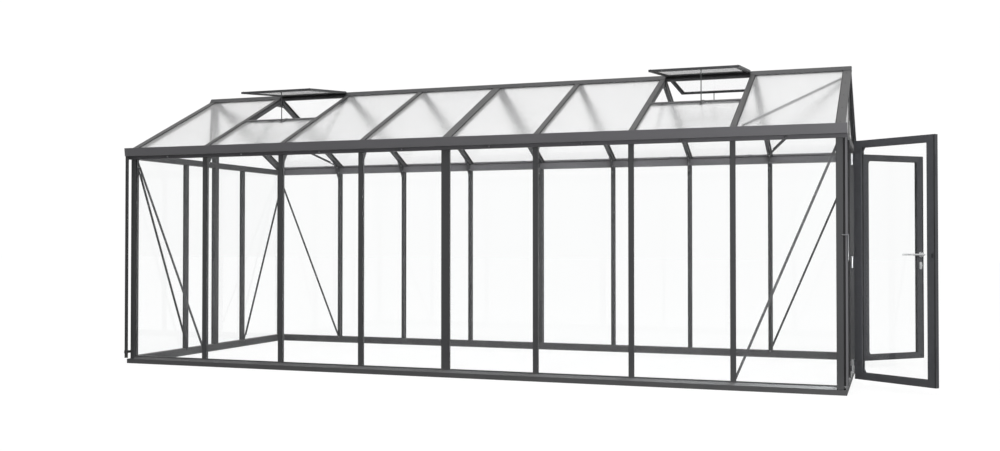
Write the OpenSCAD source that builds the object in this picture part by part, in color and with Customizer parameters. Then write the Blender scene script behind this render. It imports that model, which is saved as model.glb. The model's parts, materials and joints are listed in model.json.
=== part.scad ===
// Greenhouse with two outward doors, three opened roof vents and eave gutters.
// Lengths are in millimetres and angles in degrees.
// The origin is the middle of the footprint on the ground, +Z is up, and +X points out of the door gable.
// Offsets called "out" are measured outwards from the seat that the glass of a wall lies on.

/* [Overall] */
// Number of glazed bays along each long side, an even number
bay_count = 8; // [4:2:12]
// Distance from one glazing bar to the next along the long sides
bay_pitch = 742; // [600:1:900]
// Distance between the glass seats of the two long walls
house_w = 2425; // [2200:1:3200]
// Height of the eave beam's underside above the ground
eave_z = 1781; // [1650:1:2100]
// Pitch of both roof slopes
roof_pitch = 25; // [20:1:32]

/* [Glazing] */
// Thickness of the wall and door glass
glass_t = 4; // [3:0.5:6]
// Thickness of the roof sheet
sheet_t = 10; // [6:1:16]
// Gap left between a piece and the seat it lies on
seat_gap = 0.3; // [0.1:0.05:0.5]
// Gap left between the edge of a pane and the bottom of its groove
edge_gap = 3; // [1:0.5:4]

/* [Glazing bars] */
// Width of the outer cap of a glazing bar
cap_w = 38; // [30:1:50]
// Thickness of the outer cap
cap_t = 3; // [2:0.5:5]
// Width of the neck between cap and body
neck_w = 8; // [5:0.5:12]
// Width of the hollow body of a glazing bar
body_w = 30; // [24:1:36]
// Depth of the hollow body behind the glass seat
body_d = 34; // [28:1:44]
// Wall thickness of the hollow body
bar_wall = 2.2; // [1.5:0.1:3]
// Width of the outer cap of a double bar
double_cap_w = 66; // [56:1:80]
// Width of the hollow body of a double bar
double_body_w = 56; // [48:1:70]
// Width of the neck of a double bar
double_neck_w = 34; // [28:1:40]

/* [Corner posts] */
// How far the outer faces of the corner posts stand out
corner_out = 12; // [10:1:16]
// Depth of the grooves that take the glass edges
pocket_d = 16; // [12:1:20]
// Wall thickness of corner posts, sills, beams and door jambs
post_wall = 3; // [2:0.5:4]

/* [Sill] */
// How far the outer face of the sill stands out
sill_out = 33; // [28:1:34]
// Height of the sill
sill_h = 62; // [56:1:90]
// Height of the upright outer face of the sill
sill_face_h = 38; // [30:1:42]
// Height at which the sloped ledge of the sill meets the glass stop
sill_shelf_h = 56; // [46:0.5:58]
// Height of the sill in the doorway
threshold_h = 45; // [43:1:54]
// Width of the anchor lip on the inside of the sill
lip_w = 24; // [20:1:40]
// Thickness of the anchor lip
lip_t = 4; // [3:0.5:6]
// Radius of the anchor holes
anchor_r = 5; // [4:0.5:7]
// Distance of the anchor holes from the gable glass seats
anchor_inset = 260; // [150:1:400]

/* [Eave beam and gutter] */
// Height of the roof seat above the eave beam's underside
beam_h = 79; // [74:1:110]
// Depth of the glass groove in beams and ties
groove_d = 12; // [9:1:14]
// How far the nose of the eave beam stands out at its underside
nose_out = 14; // [10:1:16]
// Height of the gutter floor above the eave beam's underside
floor_rise = 25; // [20:1:28]
// How far the back wall of the gutter stands out
back_out = 24; // [22:1:30]
// Gap between the back wall of the gutter and the roof sheet above it
back_gap = 4; // [3:0.5:6]
// Width of the gutter floor
floor_w = 36; // [30:1:60]
// Height of the gutter's front wall
gutter_h = 70; // [60:1:90]
// How far the gutter's front wall leans out
gutter_lean = 8; // [0:1:16]
// How far both ends of the eave beam and gutter reach past the gable glass seats
gutter_over = 44; // [44:1:70]

/* [Roof] */
// How far the roof sheet reaches past the long wall's glass seat
foot_over = 40; // [34:1:50]
// How far the rakes and the ends of the ridge stand out past the gable glass seats
rake_out = 24; // [18:1:30]
// Half the width of the ridge beam
ridge_half = 20; // [16:1:26]
// Distance of the ridge wing's tip from the middle
wing_y = 46; // [40:1:60]
// Half the width of the flat top of the ridge
ridge_flat = 18; // [10:1:24]
// Height of the ridge top above the apex of the roof seats
ridge_rise = 31; // [26:1:45]
// Height of the ridge beam
ridge_h = 48; // [44:1:70]
// Thickness of the ridge wings
wing_t = 4; // [3:0.5:6]

/* [Vents] */
// Distance of a vent leaf from the caps beside it
vent_side_gap = 1; // [0:1:20]
// Length of a vent leaf from its hinge to its free edge
vent_len = 677; // [600:1:720]
// Width of the vent frame members
vent_rail_w = 28; // [24:1:40]
// Thickness of the vent frame members
vent_rail_t = 18; // [17:1:26]
// Depth of the groove in the vent frame that takes the sheet
vent_groove_d = 8; // [5:1:12]
// Angle between a vent leaf and the roof slope
vent_open = 20; // [15:1:40]
// Radius of the roll that hinges a vent leaf on the ridge
roll_r = 6; // [4:0.5:8]
// Distance of that roll down the ridge wing from the flat top of the ridge
hinge_drop = 7; // [4:1:20]
// Place of the vent's cross bar as a share of the slope from eave to apex
cross_share = 0.505; // [0.45:0.005:0.52]
// Width of the vent's cross bar along the slope
cross_w = 30; // [24:1:40]
// Depth of the vent's cross bar
cross_d = 20; // [14:1:30]
// Thickness of the sheet stop on the cross bar
stop_t = 3; // [2:0.5:5]
// How far the cross bar laps over the sheet below it
stop_lap = 26; // [16:1:40]
// Radius of the rod that holds a vent leaf up
stay_r = 4; // [3:0.5:6]
// Distance of the rod from the middle of its vent leaf
stay_shift = 58; // [0:1:200]
// Width of the strap that the rod stands on
strap_w = 24; // [16:1:40]
// Thickness of that strap
strap_t = 3; // [2:0.5:5]
// Length of the strap beyond the rod
strap_tail = 18; // [12:1:30]

/* [Gable frames] */
// Height of the tie across the plain gable
tie_h = 52; // [44:1:60]
// How far that tie hangs below the eave beam's underside
tie_drop = 0; // [0:1:12]
// Height of the head over the doors
head_h = 44; // [36:1:46]
// Height of the door head's underside above the eave beam's underside
head_rise = 25; // [0:1:26]

/* [Doors] */
// Clear width between the two door jambs
door_clear_w = 1350; // [1000:1:1500]
// Width of a door jamb
jamb_w = 54; // [48:1:70]
// Gap between a door leaf and the frame around it
door_gap = 5; // [5:0.5:8]
// Gap between the two closed leaves
meet_gap = 8; // [6:0.5:14]
// Thickness of a door leaf
leaf_t = 34; // [30:1:56]
// How far the inner face of a closed leaf lies behind the glass seat
leaf_in = 5; // [0:1:10]
// Width of the door stiles
stile_w = 65; // [56:1:90]
// Height of the door rails
rail_h = 50; // [44:1:80]
// Wall thickness of the door frame tubes
leaf_wall = 3; // [2:0.5:4]
// Angle of the front leaf from closed in the rest pose
front_open = 125; // [95:1:150]
// Angle of the rear leaf from closed in the rest pose
rear_open = 133; // [95:1:150]
// Width of the corner plates on the hinge side of a leaf
corner_plate_w = 30; // [20:1:60]
// Height of those corner plates
corner_plate_h = 48; // [30:1:80]
// Thickness of those corner plates
corner_plate_t = 3; // [2:0.5:5]

/* [Hinges] */
// Distance of the hinge axis from the outer face of a leaf
hinge_out = 20; // [16:1:28]
// Radius of the hinge knuckles
knuckle_r = 8; // [7:0.5:10]
// Radius of the hinge pins
pin_r = 5; // [4:0.5:5.5]
// Radial play between hinge pin and knuckle
pin_play = 0.1; // [0.05:0.05:0.2]
// Height of a hinge
hinge_h = 84; // [60:1:120]
// Width of the hinge plates
plate_w = 38; // [30:1:46]
// Thickness of the hinge plates
plate_t = 4; // [3:0.5:6]
// Thickness of the web between hinge plate and knuckle
web_t = 4.5; // [4:0.5:6]
// Height of the lowest hinge above the foot of the leaf
hinge_foot = 99; // [60:1:200]
// Distance of the highest hinge below the top of the leaf
hinge_head = 133; // [60:1:250]

/* [Handle and lock] */
// Height of the lever's turning axis above the ground
lever_z = 948; // [850:1:1100]
// Length of the lever from its turning axis
lever_len = 128; // [90:1:150]
// Radius of the lever
lever_r = 8; // [6:0.5:10]
// Distance of the lever's middle from the leaf's face
lever_reach = 44; // [34:1:60]
// Radius of the spindle
spindle_r = 5; // [4:0.5:6]
// Radial play around the spindle
spindle_play = 0.3; // [0.2:0.05:0.5]
// Radius of the roses
rose_r = 23; // [18:1:26]
// Thickness of the roses
rose_t = 7; // [4:1:12]
// Distance of the lock below the lever
lock_drop = 96; // [70:1:140]
// Radius of the lock escutcheon
lock_r = 14; // [10:1:20]

/* [Bracing] */
// Width of the flat brace bars
brace_w = 18; // [10:1:20]
// Thickness of the flat brace bars
brace_t = 3; // [2:0.5:5]
// Distance of the upper brace ends below the eave beam
brace_head = 13; // [13:1:120]
// Height of the lower brace ends above the ground
brace_foot = 56; // [40:1:160]
// Height that parts the braces of two walls at a corner
brace_step = 56; // [56:1:100]
// Thickness of the gusset plates
gusset_t = 4; // [3:0.5:6]
// How far the eave gussets reach below the eave beam's underside
gusset_drop = 90; // [60:1:140]
// How far the eave gussets reach in along the rafters, measured level
gusset_run = 150; // [100:1:220]
// Half the length of the apex plates, measured level
apex_half = 84; // [60:1:140]

/* [Downpipes and door holders] */
// Outer radius of the downpipes
pipe_r = 14; // [13:0.5:16]
// Inner radius of the downpipes
pipe_bore_r = 12; // [10:0.5:12.5]
// Radius of the outlet in the gutter floor
outlet_r = 10; // [8:0.5:11]
// Distance of the downpipe from the gable glass seat
pipe_x = 30; // [26:1:30]
// Height of the downpipe's lower end
pipe_foot = 48; // [30:1:80]
// Height of the downpipe clip's middle
clip_z = 100; // [90:1:400]
// Height of the downpipe clip
clip_h = 22; // [14:1:40]
// Wall thickness of the downpipe clip
clip_wall = 3; // [2:0.5:5]
// Height of the door holder's lower end
holder_z = 918; // [700:1:1000]
// Height of the door holder
holder_h = 200; // [120:1:260]
// Width of the door holder's plate
holder_w = 28; // [20:1:34]
// How far the door holder stands out from the post
holder_out = 32; // [16:1:34]
// Thickness of the door holder
holder_t = 4; // [3:0.5:6]

/* [Hidden] */
$fn = 48;
half_l = bay_count * bay_pitch / 2;
half_w = house_w / 2;
mid_bar = bay_count / 2;
left_vent_bay = 1;
right_vent_bay = bay_count - 2;
reach = bay_count * bay_pitch + house_w;
wall_slot = glass_t + 2 * seat_gap;
roof_slot = sheet_t + 2 * seat_gap;
cap_out = wall_slot + cap_t;
roof_cap_r = roof_slot + cap_t;
sill_floor = sill_h - groove_d;
roof_seat = eave_z + beam_h;
pitch_tan = tan(roof_pitch);
pitch_cos = cos(roof_pitch);
slope_len = half_w / pitch_cos;
foot_s = foot_over / pitch_cos;
floor_z = eave_z + floor_rise;
floor_out = back_out + floor_w;
gutter_top = floor_z + gutter_h;
back_top = roof_seat - back_out * pitch_tan - back_gap;
pipe_out = floor_out - pipe_r;
apex_z = roof_seat + half_w * pitch_tan;
ridge_top = apex_z + ridge_rise;
ridge_foot = ridge_top - ridge_h;
wing_z = apex_z - (wing_y - wing_t) * pitch_tan + roof_cap_r / pitch_cos + seat_gap;
wing_run = wing_y - ridge_flat;
wing_fall = ridge_top - wing_z;
wing_face = norm([wing_run, wing_fall]);
wing_root_z = wing_z + (wing_y - wing_t - ridge_half) * wing_fall / wing_run;
roll_seat = roll_r + seat_gap;
roll_y = ridge_flat + (hinge_drop * wing_run + roll_seat * wing_fall) / wing_face;
roll_z = ridge_top + (roll_seat * wing_run - hinge_drop * wing_fall) / wing_face;
vent_w = bay_pitch - cap_w - 2 * vent_side_gap;
vent_tilt = roof_pitch - vent_open;
cross_s = cross_share * slope_len;
strap_seat = roof_slot + stop_t + seat_gap;
stay_d = vent_len - vent_rail_w / 2;
stay_y = roll_y + stay_d * cos(vent_tilt) - vent_rail_t / 2 * sin(vent_tilt);
stay_top = roll_z - stay_d * sin(vent_tilt) - vent_rail_t / 2 * cos(vent_tilt) - stay_r * sin(vent_tilt);
stay_foot = roof_seat + (half_w - stay_y) * pitch_tan + (strap_seat + strap_t / 2) / pitch_cos;
stay_s = (half_w - stay_y + strap_seat * sin(roof_pitch)) / pitch_cos;
gable_post_y = half_w - bay_pitch;
tie_z = eave_z - tie_drop;
tie_top = tie_z + tie_h;
head_z = eave_z + head_rise;
head_top = head_z + head_h;
jamb_y = door_clear_w / 2;
leaf_out = leaf_t - leaf_in;
leaf_w = (door_clear_w - meet_gap) / 2 - door_gap;
leaf_foot = threshold_h + door_gap;
leaf_top = head_z - door_gap;
leaf_h = leaf_top - leaf_foot;
axis_x = half_l + leaf_out + hinge_out;
axis_y = jamb_y - door_gap / 2;
hinge_low = leaf_foot + hinge_foot;
hinge_high = leaf_top - hinge_head;
hinge_zs = [hinge_low, (hinge_low + hinge_high) / 2, hinge_high];
lever_x = leaf_w - stile_w / 2;
glass_y = leaf_t / 2;
leaf_groove = pocket_d - edge_gap;
frame_grey = "#4b4d50";
door_grey = "#3f4246";
steel_grey = "#b8bbbd";
glass_tint = [0.86, 0.92, 0.92, 0.35];
sheet_tint = [0.93, 0.94, 0.95, 0.75];

// Places of bars and roof surfaces

function bar_x(i) = i * bay_pitch - half_l;

function pane_inset(i) =
    (i == 0 || i == bay_count) ? body_d - pocket_d + edge_gap
    : (i == mid_bar) ? double_neck_w / 2 + edge_gap
    : neck_w / 2 + edge_gap;

function body_half(i) =
    (i == 0 || i == bay_count) ? body_d
    : (i == mid_bar) ? double_body_w / 2
    : body_w / 2;

function cap_half(i) =
    (i == 0 || i == bay_count) ? body_d
    : (i == mid_bar) ? double_cap_w / 2
    : cap_w / 2;

function pane_x0(i) = bar_x(i) + pane_inset(i);

function pane_x1(i) = bar_x(i + 1) - pane_inset(i + 1);

// Height of a surface that lies r above the roof seat, at a distance y from the middle
function roof_z(y, r) = roof_seat + (half_w - y) * pitch_tan + r / pitch_cos;

function single_bar(i) = i != mid_bar;

// Frames in which each wall or slope is drawn: x along it, y or z outwards

module on_front() {
    translate([0, -half_w, 0]) rotate([0, 0, 180]) children();
}

module on_rear() {
    translate([0, half_w, 0]) children();
}

module on_left() {
    translate([-half_l, 0, 0]) rotate([0, 0, 90]) children();
}

module on_right() {
    translate([half_l, 0, 0]) rotate([0, 0, -90]) children();
}

module on_front_slope() {
    translate([0, -half_w, roof_seat]) rotate([roof_pitch, 0, 0]) children();
}

module on_rear_slope() {
    rotate([0, 0, 180]) on_front_slope() children();
}

// Runs an outline given as (out, height) along x, from x0 to x1
module run_along(x0, x1) {
    translate([x0, 0, 0]) rotate([90, 0, 90]) linear_extrude(height = x1 - x0) children();
}

// Runs an outline given as (x, height above the roof seat) up the slope, from s0 to s1
module run_up(s0, s1) {
    translate([0, s1, 0]) rotate([90, 0, 0]) linear_extrude(height = s1 - s0) children();
}

// Lays an outline given as (x, z) flat in a wall, from out0 to out1
module in_wall(out0, out1) {
    translate([0, out1, 0]) rotate([90, 0, 0]) linear_extrude(height = out1 - out0) children();
}

// Outlines of the profiles

module tube_outline(w, d, wall) {
    difference() {
        square([w, d]);
        translate([wall, wall]) square([w - 2 * wall, d - 2 * wall]);
    }
}

module body_outline(w) {
    translate([-w / 2, -body_d]) tube_outline(w, body_d, bar_wall);
}

module cap_outline(w, neck, slot) {
    translate([-w / 2, slot]) square([w, cap_t]);
    translate([-neck / 2, -bar_wall / 2]) square([neck, slot + bar_wall / 2 + cap_t / 2]);
}

module bar_outline(w, body, neck, slot) {
    body_outline(body);
    cap_outline(w, neck, slot);
}

module single_outline() {
    bar_outline(cap_w, body_w, neck_w, wall_slot);
}

module double_outline() {
    bar_outline(double_cap_w, double_body_w, double_neck_w, wall_slot);
}

module corner_outline() {
    difference() {
        translate([-body_d, -body_d]) square(body_d + corner_out);
        translate([-body_d, 0]) square([pocket_d, wall_slot]);
        translate([0, -body_d]) square([wall_slot, pocket_d]);
        translate([post_wall - body_d, post_wall - body_d]) square(body_d - 2 * post_wall);
    }
}

module sill_end_outline() {
    polygon([[-body_d - lip_w, 0], [sill_out, 0], [sill_out, sill_face_h],
        [cap_out, sill_shelf_h], [cap_out, sill_h], [wall_slot, sill_h], [wall_slot, sill_floor],
        [0, sill_floor], [0, sill_h], [-body_d, sill_h], [-body_d, lip_t], [-body_d - lip_w, lip_t]]);
}

module sill_outline() {
    difference() {
        sill_end_outline();
        polygon([[post_wall - body_d, post_wall], [sill_out - post_wall, post_wall],
            [sill_out - post_wall, sill_face_h - post_wall], [wall_slot, sill_floor - post_wall],
            [-post_wall, sill_floor - post_wall], [-post_wall, sill_h - post_wall],
            [post_wall - body_d, sill_h - post_wall]]);
    }
}

module threshold_outline() {
    difference() {
        polygon([[-body_d - lip_w, 0], [sill_out, 0], [sill_out, sill_face_h], [cap_out, threshold_h],
            [-body_d, threshold_h], [-body_d, lip_t], [-body_d - lip_w, lip_t]]);
        polygon([[post_wall - body_d, post_wall], [sill_out - post_wall, post_wall],
            [sill_out - post_wall, sill_face_h - post_wall], [cap_out, threshold_h - post_wall],
            [post_wall - body_d, threshold_h - post_wall]]);
    }
}

// Top of the eave beam, which the rafters lie on
function beam_top(out) = roof_seat - out * pitch_tan - body_d / pitch_cos - seat_gap;

module beam_outline() {
    inner = back_out - post_wall;
    shaft = inner - post_wall;
    groove_top = eave_z + groove_d;
    difference() {
        polygon([[-body_d, eave_z], [0, eave_z], [0, groove_top], [wall_slot, groove_top],
            [wall_slot, eave_z], [nose_out, eave_z], [back_out, floor_z], [back_out, floor_z + post_wall],
            [inner, beam_top(inner)], [-body_d, beam_top(-body_d)]]);
        polygon([[post_wall - body_d, eave_z + post_wall], [-post_wall, eave_z + post_wall],
            [-post_wall, groove_top + post_wall], [shaft, groove_top + post_wall],
            [shaft, beam_top(shaft) - post_wall],
            [post_wall - body_d, beam_top(post_wall - body_d) - post_wall]]);
    }
}

module beam_end_outline() {
    inner = back_out - post_wall;
    polygon([[-body_d, eave_z], [nose_out, eave_z], [back_out, floor_z], [back_out, floor_z + post_wall],
        [inner, beam_top(inner)], [-body_d, beam_top(-body_d)]]);
}

module trough_outline() {
    inner = back_out - post_wall;
    front_top = floor_out + gutter_lean;
    polygon([[inner, floor_z], [floor_out, floor_z], [front_top, gutter_top],
        [front_top - post_wall, gutter_top], [floor_out - post_wall, floor_z + post_wall],
        [back_out, floor_z + post_wall], [back_out, back_top], [inner, back_top]]);
}

module trough_end_outline() {
    inner = back_out - post_wall;
    polygon([[inner, floor_z], [floor_out, floor_z], [floor_out + gutter_lean, gutter_top],
        [back_out, gutter_top], [inner, back_top]]);
}

module rake_outline() {
    shell_w = rake_out - wall_slot - 2 * post_wall;
    difference() {
        translate([-body_d, -body_d]) square([body_d + rake_out, body_d + roof_cap_r]);
        translate([-body_d, 0]) square([pocket_d, roof_slot]);
        translate([0, -body_d]) square([wall_slot, pocket_d]);
        translate([post_wall - body_d, post_wall - body_d]) square(body_d - 2 * post_wall);
        translate([wall_slot + post_wall, post_wall - body_d])
            square([shell_w, body_d + roof_cap_r - 2 * post_wall]);
    }
}

module tie_outline(z0, h, out) {
    difference() {
        translate([-body_d, z0]) square([body_d + out, h]);
        translate([0, z0]) square([wall_slot, groove_d]);
        translate([0, z0 + h - groove_d]) square([wall_slot, groove_d]);
        translate([post_wall - body_d, z0 + post_wall]) square([body_d - 2 * post_wall, h - 2 * post_wall]);
    }
}

module jamb_outline() {
    difference() {
        translate([jamb_y, -body_d]) square([jamb_w, body_d + leaf_out]);
        translate([jamb_y + jamb_w - pocket_d, 0]) square([pocket_d, wall_slot]);
        translate([jamb_y + post_wall, post_wall - body_d])
            square([jamb_w - 2 * post_wall, body_d - 2 * post_wall]);
        translate([jamb_y + post_wall, wall_slot + post_wall])
            square([jamb_w - 2 * post_wall, leaf_out - wall_slot - 2 * post_wall]);
    }
}

module ridge_outline() {
    shaft = ridge_half - post_wall;
    shaft_top = ridge_top - post_wall;
    difference() {
        polygon([[-wing_y, wing_z], [wing_t - wing_y, wing_z], [-ridge_half, wing_root_z],
            [-ridge_half, ridge_foot], [ridge_half, ridge_foot], [ridge_half, wing_root_z],
            [wing_y - wing_t, wing_z], [wing_y, wing_z], [ridge_flat, ridge_top], [-ridge_flat, ridge_top]]);
        polygon([[-shaft, ridge_foot + post_wall], [shaft, ridge_foot + post_wall],
            [shaft, wing_root_z], [ridge_flat - post_wall, shaft_top],
            [post_wall - ridge_flat, shaft_top], [-shaft, wing_root_z]]);
    }
}

// Sills with mitred ends

module corner_cut(half) {
    translate([half - seat_gap / 2, 0, 0]) rotate([0, 0, -45]) translate([0, -reach, -reach])
        cube([reach, 2 * reach, 2 * reach]);
    translate([half - body_d - seat_gap, -reach, sill_face_h]) cube([reach, 2 * reach, reach]);
}

module sill(half) {
    difference() {
        run_along(-half - sill_out, half + sill_out) sill_outline();
        corner_cut(half);
        mirror([1, 0, 0]) corner_cut(half);
    }
}

module anchored_sill() {
    difference() {
        sill(half_l);
        for (side = [-1, 1])
            translate([side * (half_l - anchor_inset), -body_d - lip_w / 2, -lip_t])
                cylinder(r = anchor_r, h = 3 * lip_t);
    }
}

module front_sill() {
    color(frame_grey) on_front() anchored_sill();
}

module rear_sill() {
    color(frame_grey) on_rear() anchored_sill();
}

module left_sill() {
    color(frame_grey) on_left() sill(half_w);
}

// The sill is lower between the door jambs, and its higher ends are closed there
module right_sill() {
    color(frame_grey) on_right() {
        difference() {
            sill(half_w);
            translate([-jamb_y, -reach, -reach]) cube([2 * jamb_y, 2 * reach, 2 * reach]);
        }
        run_along(-jamb_y, jamb_y) threshold_outline();
        for (side = [0, 1])
            mirror([side, 0, 0]) run_along(jamb_y, jamb_y + post_wall) sill_end_outline();
    }
}

// Posts and glazing bars of the walls

module corner_post() {
    foot = sill_face_h + seat_gap;
    translate([half_l, half_w, foot]) linear_extrude(height = eave_z - seat_gap - foot) corner_outline();
}

module front_corner_posts() {
    color(frame_grey) for (side = [0, 1])
        mirror([side, 0, 0]) mirror([0, 1, 0]) corner_post();
}

module rear_corner_posts() {
    color(frame_grey) for (side = [0, 1])
        mirror([side, 0, 0]) corner_post();
}

module upright(z0, z1) {
    translate([0, 0, z0 + seat_gap]) linear_extrude(height = z1 - z0 - 2 * seat_gap) children();
}

module wall_bars() {
    for (i = [1 : bay_count - 1])
        if (single_bar(i)) translate([bar_x(i), 0, 0]) upright(sill_h, eave_z) single_outline();
}

module front_wall_bars() {
    color(frame_grey) on_front() wall_bars();
}

module rear_wall_bars() {
    color(frame_grey) on_rear() wall_bars();
}

module middle_posts() {
    color(frame_grey) {
        on_front() upright(sill_h, eave_z) double_outline();
        on_rear() upright(sill_h, eave_z) double_outline();
    }
}

// Everything below the underside of the rafters and the ridge, along x
module below_roof() {
    level = -body_d - seat_gap / pitch_cos;
    side_z = roof_z(half_w, level);
    rafter_z = roof_z(ridge_half, level);
    top = ridge_foot - seat_gap;
    rotate([90, 0, 90]) translate([0, 0, -reach]) linear_extrude(height = 2 * reach)
        polygon([[-half_w, 0], [half_w, 0], [half_w, side_z], [ridge_half, rafter_z], [ridge_half, top],
            [-ridge_half, top], [-ridge_half, rafter_z], [-half_w, side_z]]);
}

module gable_posts() {
    color(frame_grey) on_left() for (side = [-1, 1])
        translate([side * gable_post_y, 0, 0]) upright(sill_h, tie_z) single_outline();
}

module king_posts() {
    color(frame_grey) {
        on_left() upright(sill_h, tie_z) double_outline();
        intersection() {
            union() {
                on_left() upright(tie_top, apex_z) double_outline();
                on_right() upright(head_top, apex_z) double_outline();
            }
            below_roof();
        }
    }
}

module left_gable_tie() {
    span = half_w - body_d - seat_gap;
    color(frame_grey) intersection() {
        on_left() run_along(-span, span) tie_outline(tie_z, tie_h, cap_out);
        below_roof();
    }
}

module door_head() {
    span = half_w - body_d - seat_gap;
    color(frame_grey) intersection() {
        on_right() run_along(-span, span) tie_outline(head_z, head_h, leaf_out);
        below_roof();
    }
}

module door_jambs() {
    color(frame_grey) on_right() for (side = [0, 1])
        mirror([side, 0, 0]) upright(sill_h, head_z) jamb_outline();
}

// Eaves and ridge

module gutter() {
    end = half_l + gutter_over;
    difference() {
        union() {
            run_along(-end, end) {
                beam_outline();
                trough_outline();
            }
            for (side = [0, 1]) mirror([side, 0, 0]) run_along(end - post_wall, end) {
                beam_end_outline();
                trough_end_outline();
            }
        }
        translate([half_l + pipe_x, pipe_out, eave_z]) cylinder(r = outlet_r, h = gutter_h);
    }
}

module front_gutter() {
    color(frame_grey) on_front() gutter();
}

module rear_gutter() {
    color(frame_grey) on_rear() gutter();
}

module ridge_beam() {
    color(frame_grey) run_along(-half_l - rake_out, half_l + rake_out) ridge_outline();
}

// Rafters end at the ridge beam, and their bodies at the back wall of the gutter

module ridge_space() {
    translate([-reach, -ridge_half - seat_gap, 0]) cube([2 * reach, 2 * (ridge_half + seat_gap), reach]);
}

module foot_space() {
    edge = half_w + back_out - post_wall - seat_gap;
    for (side = [0, 1])
        mirror([0, side, 0]) translate([-reach, edge, 0]) cube([2 * reach, reach, reach]);
}

module rafter(i) {
    double = i == mid_bar;
    difference() {
        translate([bar_x(i), 0, 0]) on_front_slope() {
            run_up(-foot_s, slope_len) cap_outline(double ? double_cap_w : cap_w,
                double ? double_neck_w : neck_w, roof_slot);
        }
        ridge_space();
    }
    difference() {
        translate([bar_x(i), 0, 0]) on_front_slope()
            run_up(-foot_s, slope_len) body_outline(double ? double_body_w : body_w);
        ridge_space();
        foot_space();
    }
}

module front_rafters() {
    color(frame_grey) for (i = [1 : bay_count - 1])
        if (single_bar(i)) rafter(i);
}

module rear_rafters() {
    color(frame_grey) rotate([0, 0, 180]) for (i = [1 : bay_count - 1])
        if (single_bar(i)) rafter(i);
}

module middle_rafters() {
    color(frame_grey) for (turn = [0, 180])
        rotate([0, 0, turn]) rafter(mid_bar);
}

module rake() {
    difference() {
        translate([half_l, 0, 0]) on_front_slope() run_up(-foot_s, slope_len) intersection() {
            rake_outline();
            translate([-reach, -bar_wall / 2]) square([2 * reach, reach]);
        }
        ridge_space();
    }
    difference() {
        translate([half_l, 0, 0]) on_front_slope() run_up(-foot_s, slope_len) intersection() {
            rake_outline();
            translate([-reach, -reach]) square([2 * reach, reach]);
        }
        ridge_space();
        foot_space();
    }
}

module gable_rakes() {
    color(frame_grey) for (side = [0, 1], back = [0, 1])
        mirror([side, 0, 0]) mirror([0, back, 0]) rake();
}

// Vents: a cross bar closes the sheet below, and the leaf hangs on the ridge wing

module cross_bar(i) {
    x0 = bar_x(i) + body_half(i) + seat_gap;
    x1 = bar_x(i + 1) - body_half(i + 1) - seat_gap;
    stop_x0 = bar_x(i) + cap_half(i) + seat_gap;
    stop_x1 = bar_x(i + 1) - cap_half(i + 1) - seat_gap;
    translate([x0, cross_s - cross_w / 2, -cross_d]) cube([x1 - x0, cross_w, cross_d]);
    translate([stop_x0, cross_s + edge_gap, -cross_d])
        cube([stop_x1 - stop_x0, stop_t, cross_d + roof_slot + stop_t]);
    translate([stop_x0, cross_s - stop_lap, roof_slot])
        cube([stop_x1 - stop_x0, stop_lap + edge_gap + stop_t, stop_t]);
}

module vent_cross_bars() {
    color(frame_grey) {
        on_front_slope() cross_bar(left_vent_bay);
        on_front_slope() cross_bar(right_vent_bay);
        on_rear_slope() cross_bar(left_vent_bay);
    }
}

module on_vent(i) {
    translate([bar_x(i) + bay_pitch / 2, -roll_y, roll_z]) rotate([vent_tilt, 0, 0]) children();
}

module vent_frame() {
    groove_in = vent_rail_w - vent_groove_d;
    difference() {
        union() {
            translate([-vent_w / 2, -vent_len, -vent_rail_t / 2]) cube([vent_w, vent_len - roll_r / 2, vent_rail_t]);
            translate([-vent_w / 2, 0, 0]) rotate([0, 90, 0]) cylinder(r = roll_r, h = vent_w);
        }
        translate([vent_rail_w - vent_w / 2, vent_rail_w - vent_len, -vent_rail_t])
            cube([vent_w - 2 * vent_rail_w, vent_len - 2 * vent_rail_w, 2 * vent_rail_t]);
        translate([groove_in - vent_w / 2, groove_in - vent_len, -roof_slot / 2])
            cube([vent_w - 2 * groove_in, vent_len - 2 * groove_in, roof_slot]);
    }
}

module vent_sheet() {
    inset = vent_rail_w - vent_groove_d + edge_gap;
    translate([inset - vent_w / 2, inset - vent_len, -sheet_t / 2])
        cube([vent_w - 2 * inset, vent_len - 2 * inset, sheet_t]);
}

module front_vent_frames() {
    color(frame_grey) {
        on_vent(left_vent_bay) vent_frame();
        on_vent(right_vent_bay) vent_frame();
    }
}

module rear_vent_frame() {
    color(frame_grey) rotate([0, 0, 180]) on_vent(left_vent_bay) vent_frame();
}

module vent_sheets() {
    color(sheet_tint) {
        on_vent(left_vent_bay) vent_sheet();
        on_vent(right_vent_bay) vent_sheet();
        rotate([0, 0, 180]) on_vent(left_vent_bay) vent_sheet();
    }
}

module vent_stay(i) {
    x = bar_x(i) + bay_pitch / 2 + stay_shift;
    strap_s0 = stay_s - strap_tail;
    strap_s1 = cross_s + edge_gap + stop_t;
    translate([x, -stay_y, stay_foot]) cylinder(r = stay_r, h = stay_top - seat_gap - stay_foot);
    on_front_slope() translate([x - strap_w / 2, strap_s0, strap_seat])
        cube([strap_w, strap_s1 - strap_s0, strap_t]);
}

module vent_stays() {
    color(frame_grey) {
        vent_stay(left_vent_bay);
        vent_stay(right_vent_bay);
        rotate([0, 0, 180]) vent_stay(left_vent_bay);
    }
}

// Glass and roof sheets

module wall_panes() {
    z0 = sill_floor + seat_gap;
    z1 = eave_z + groove_d - edge_gap;
    for (i = [0 : bay_count - 1])
        translate([pane_x0(i), seat_gap, z0]) cube([pane_x1(i) - pane_x0(i), glass_t, z1 - z0]);
}

module front_glass() {
    color(glass_tint) on_front() wall_panes();
}

module rear_glass() {
    color(glass_tint) on_rear() wall_panes();
}

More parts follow.
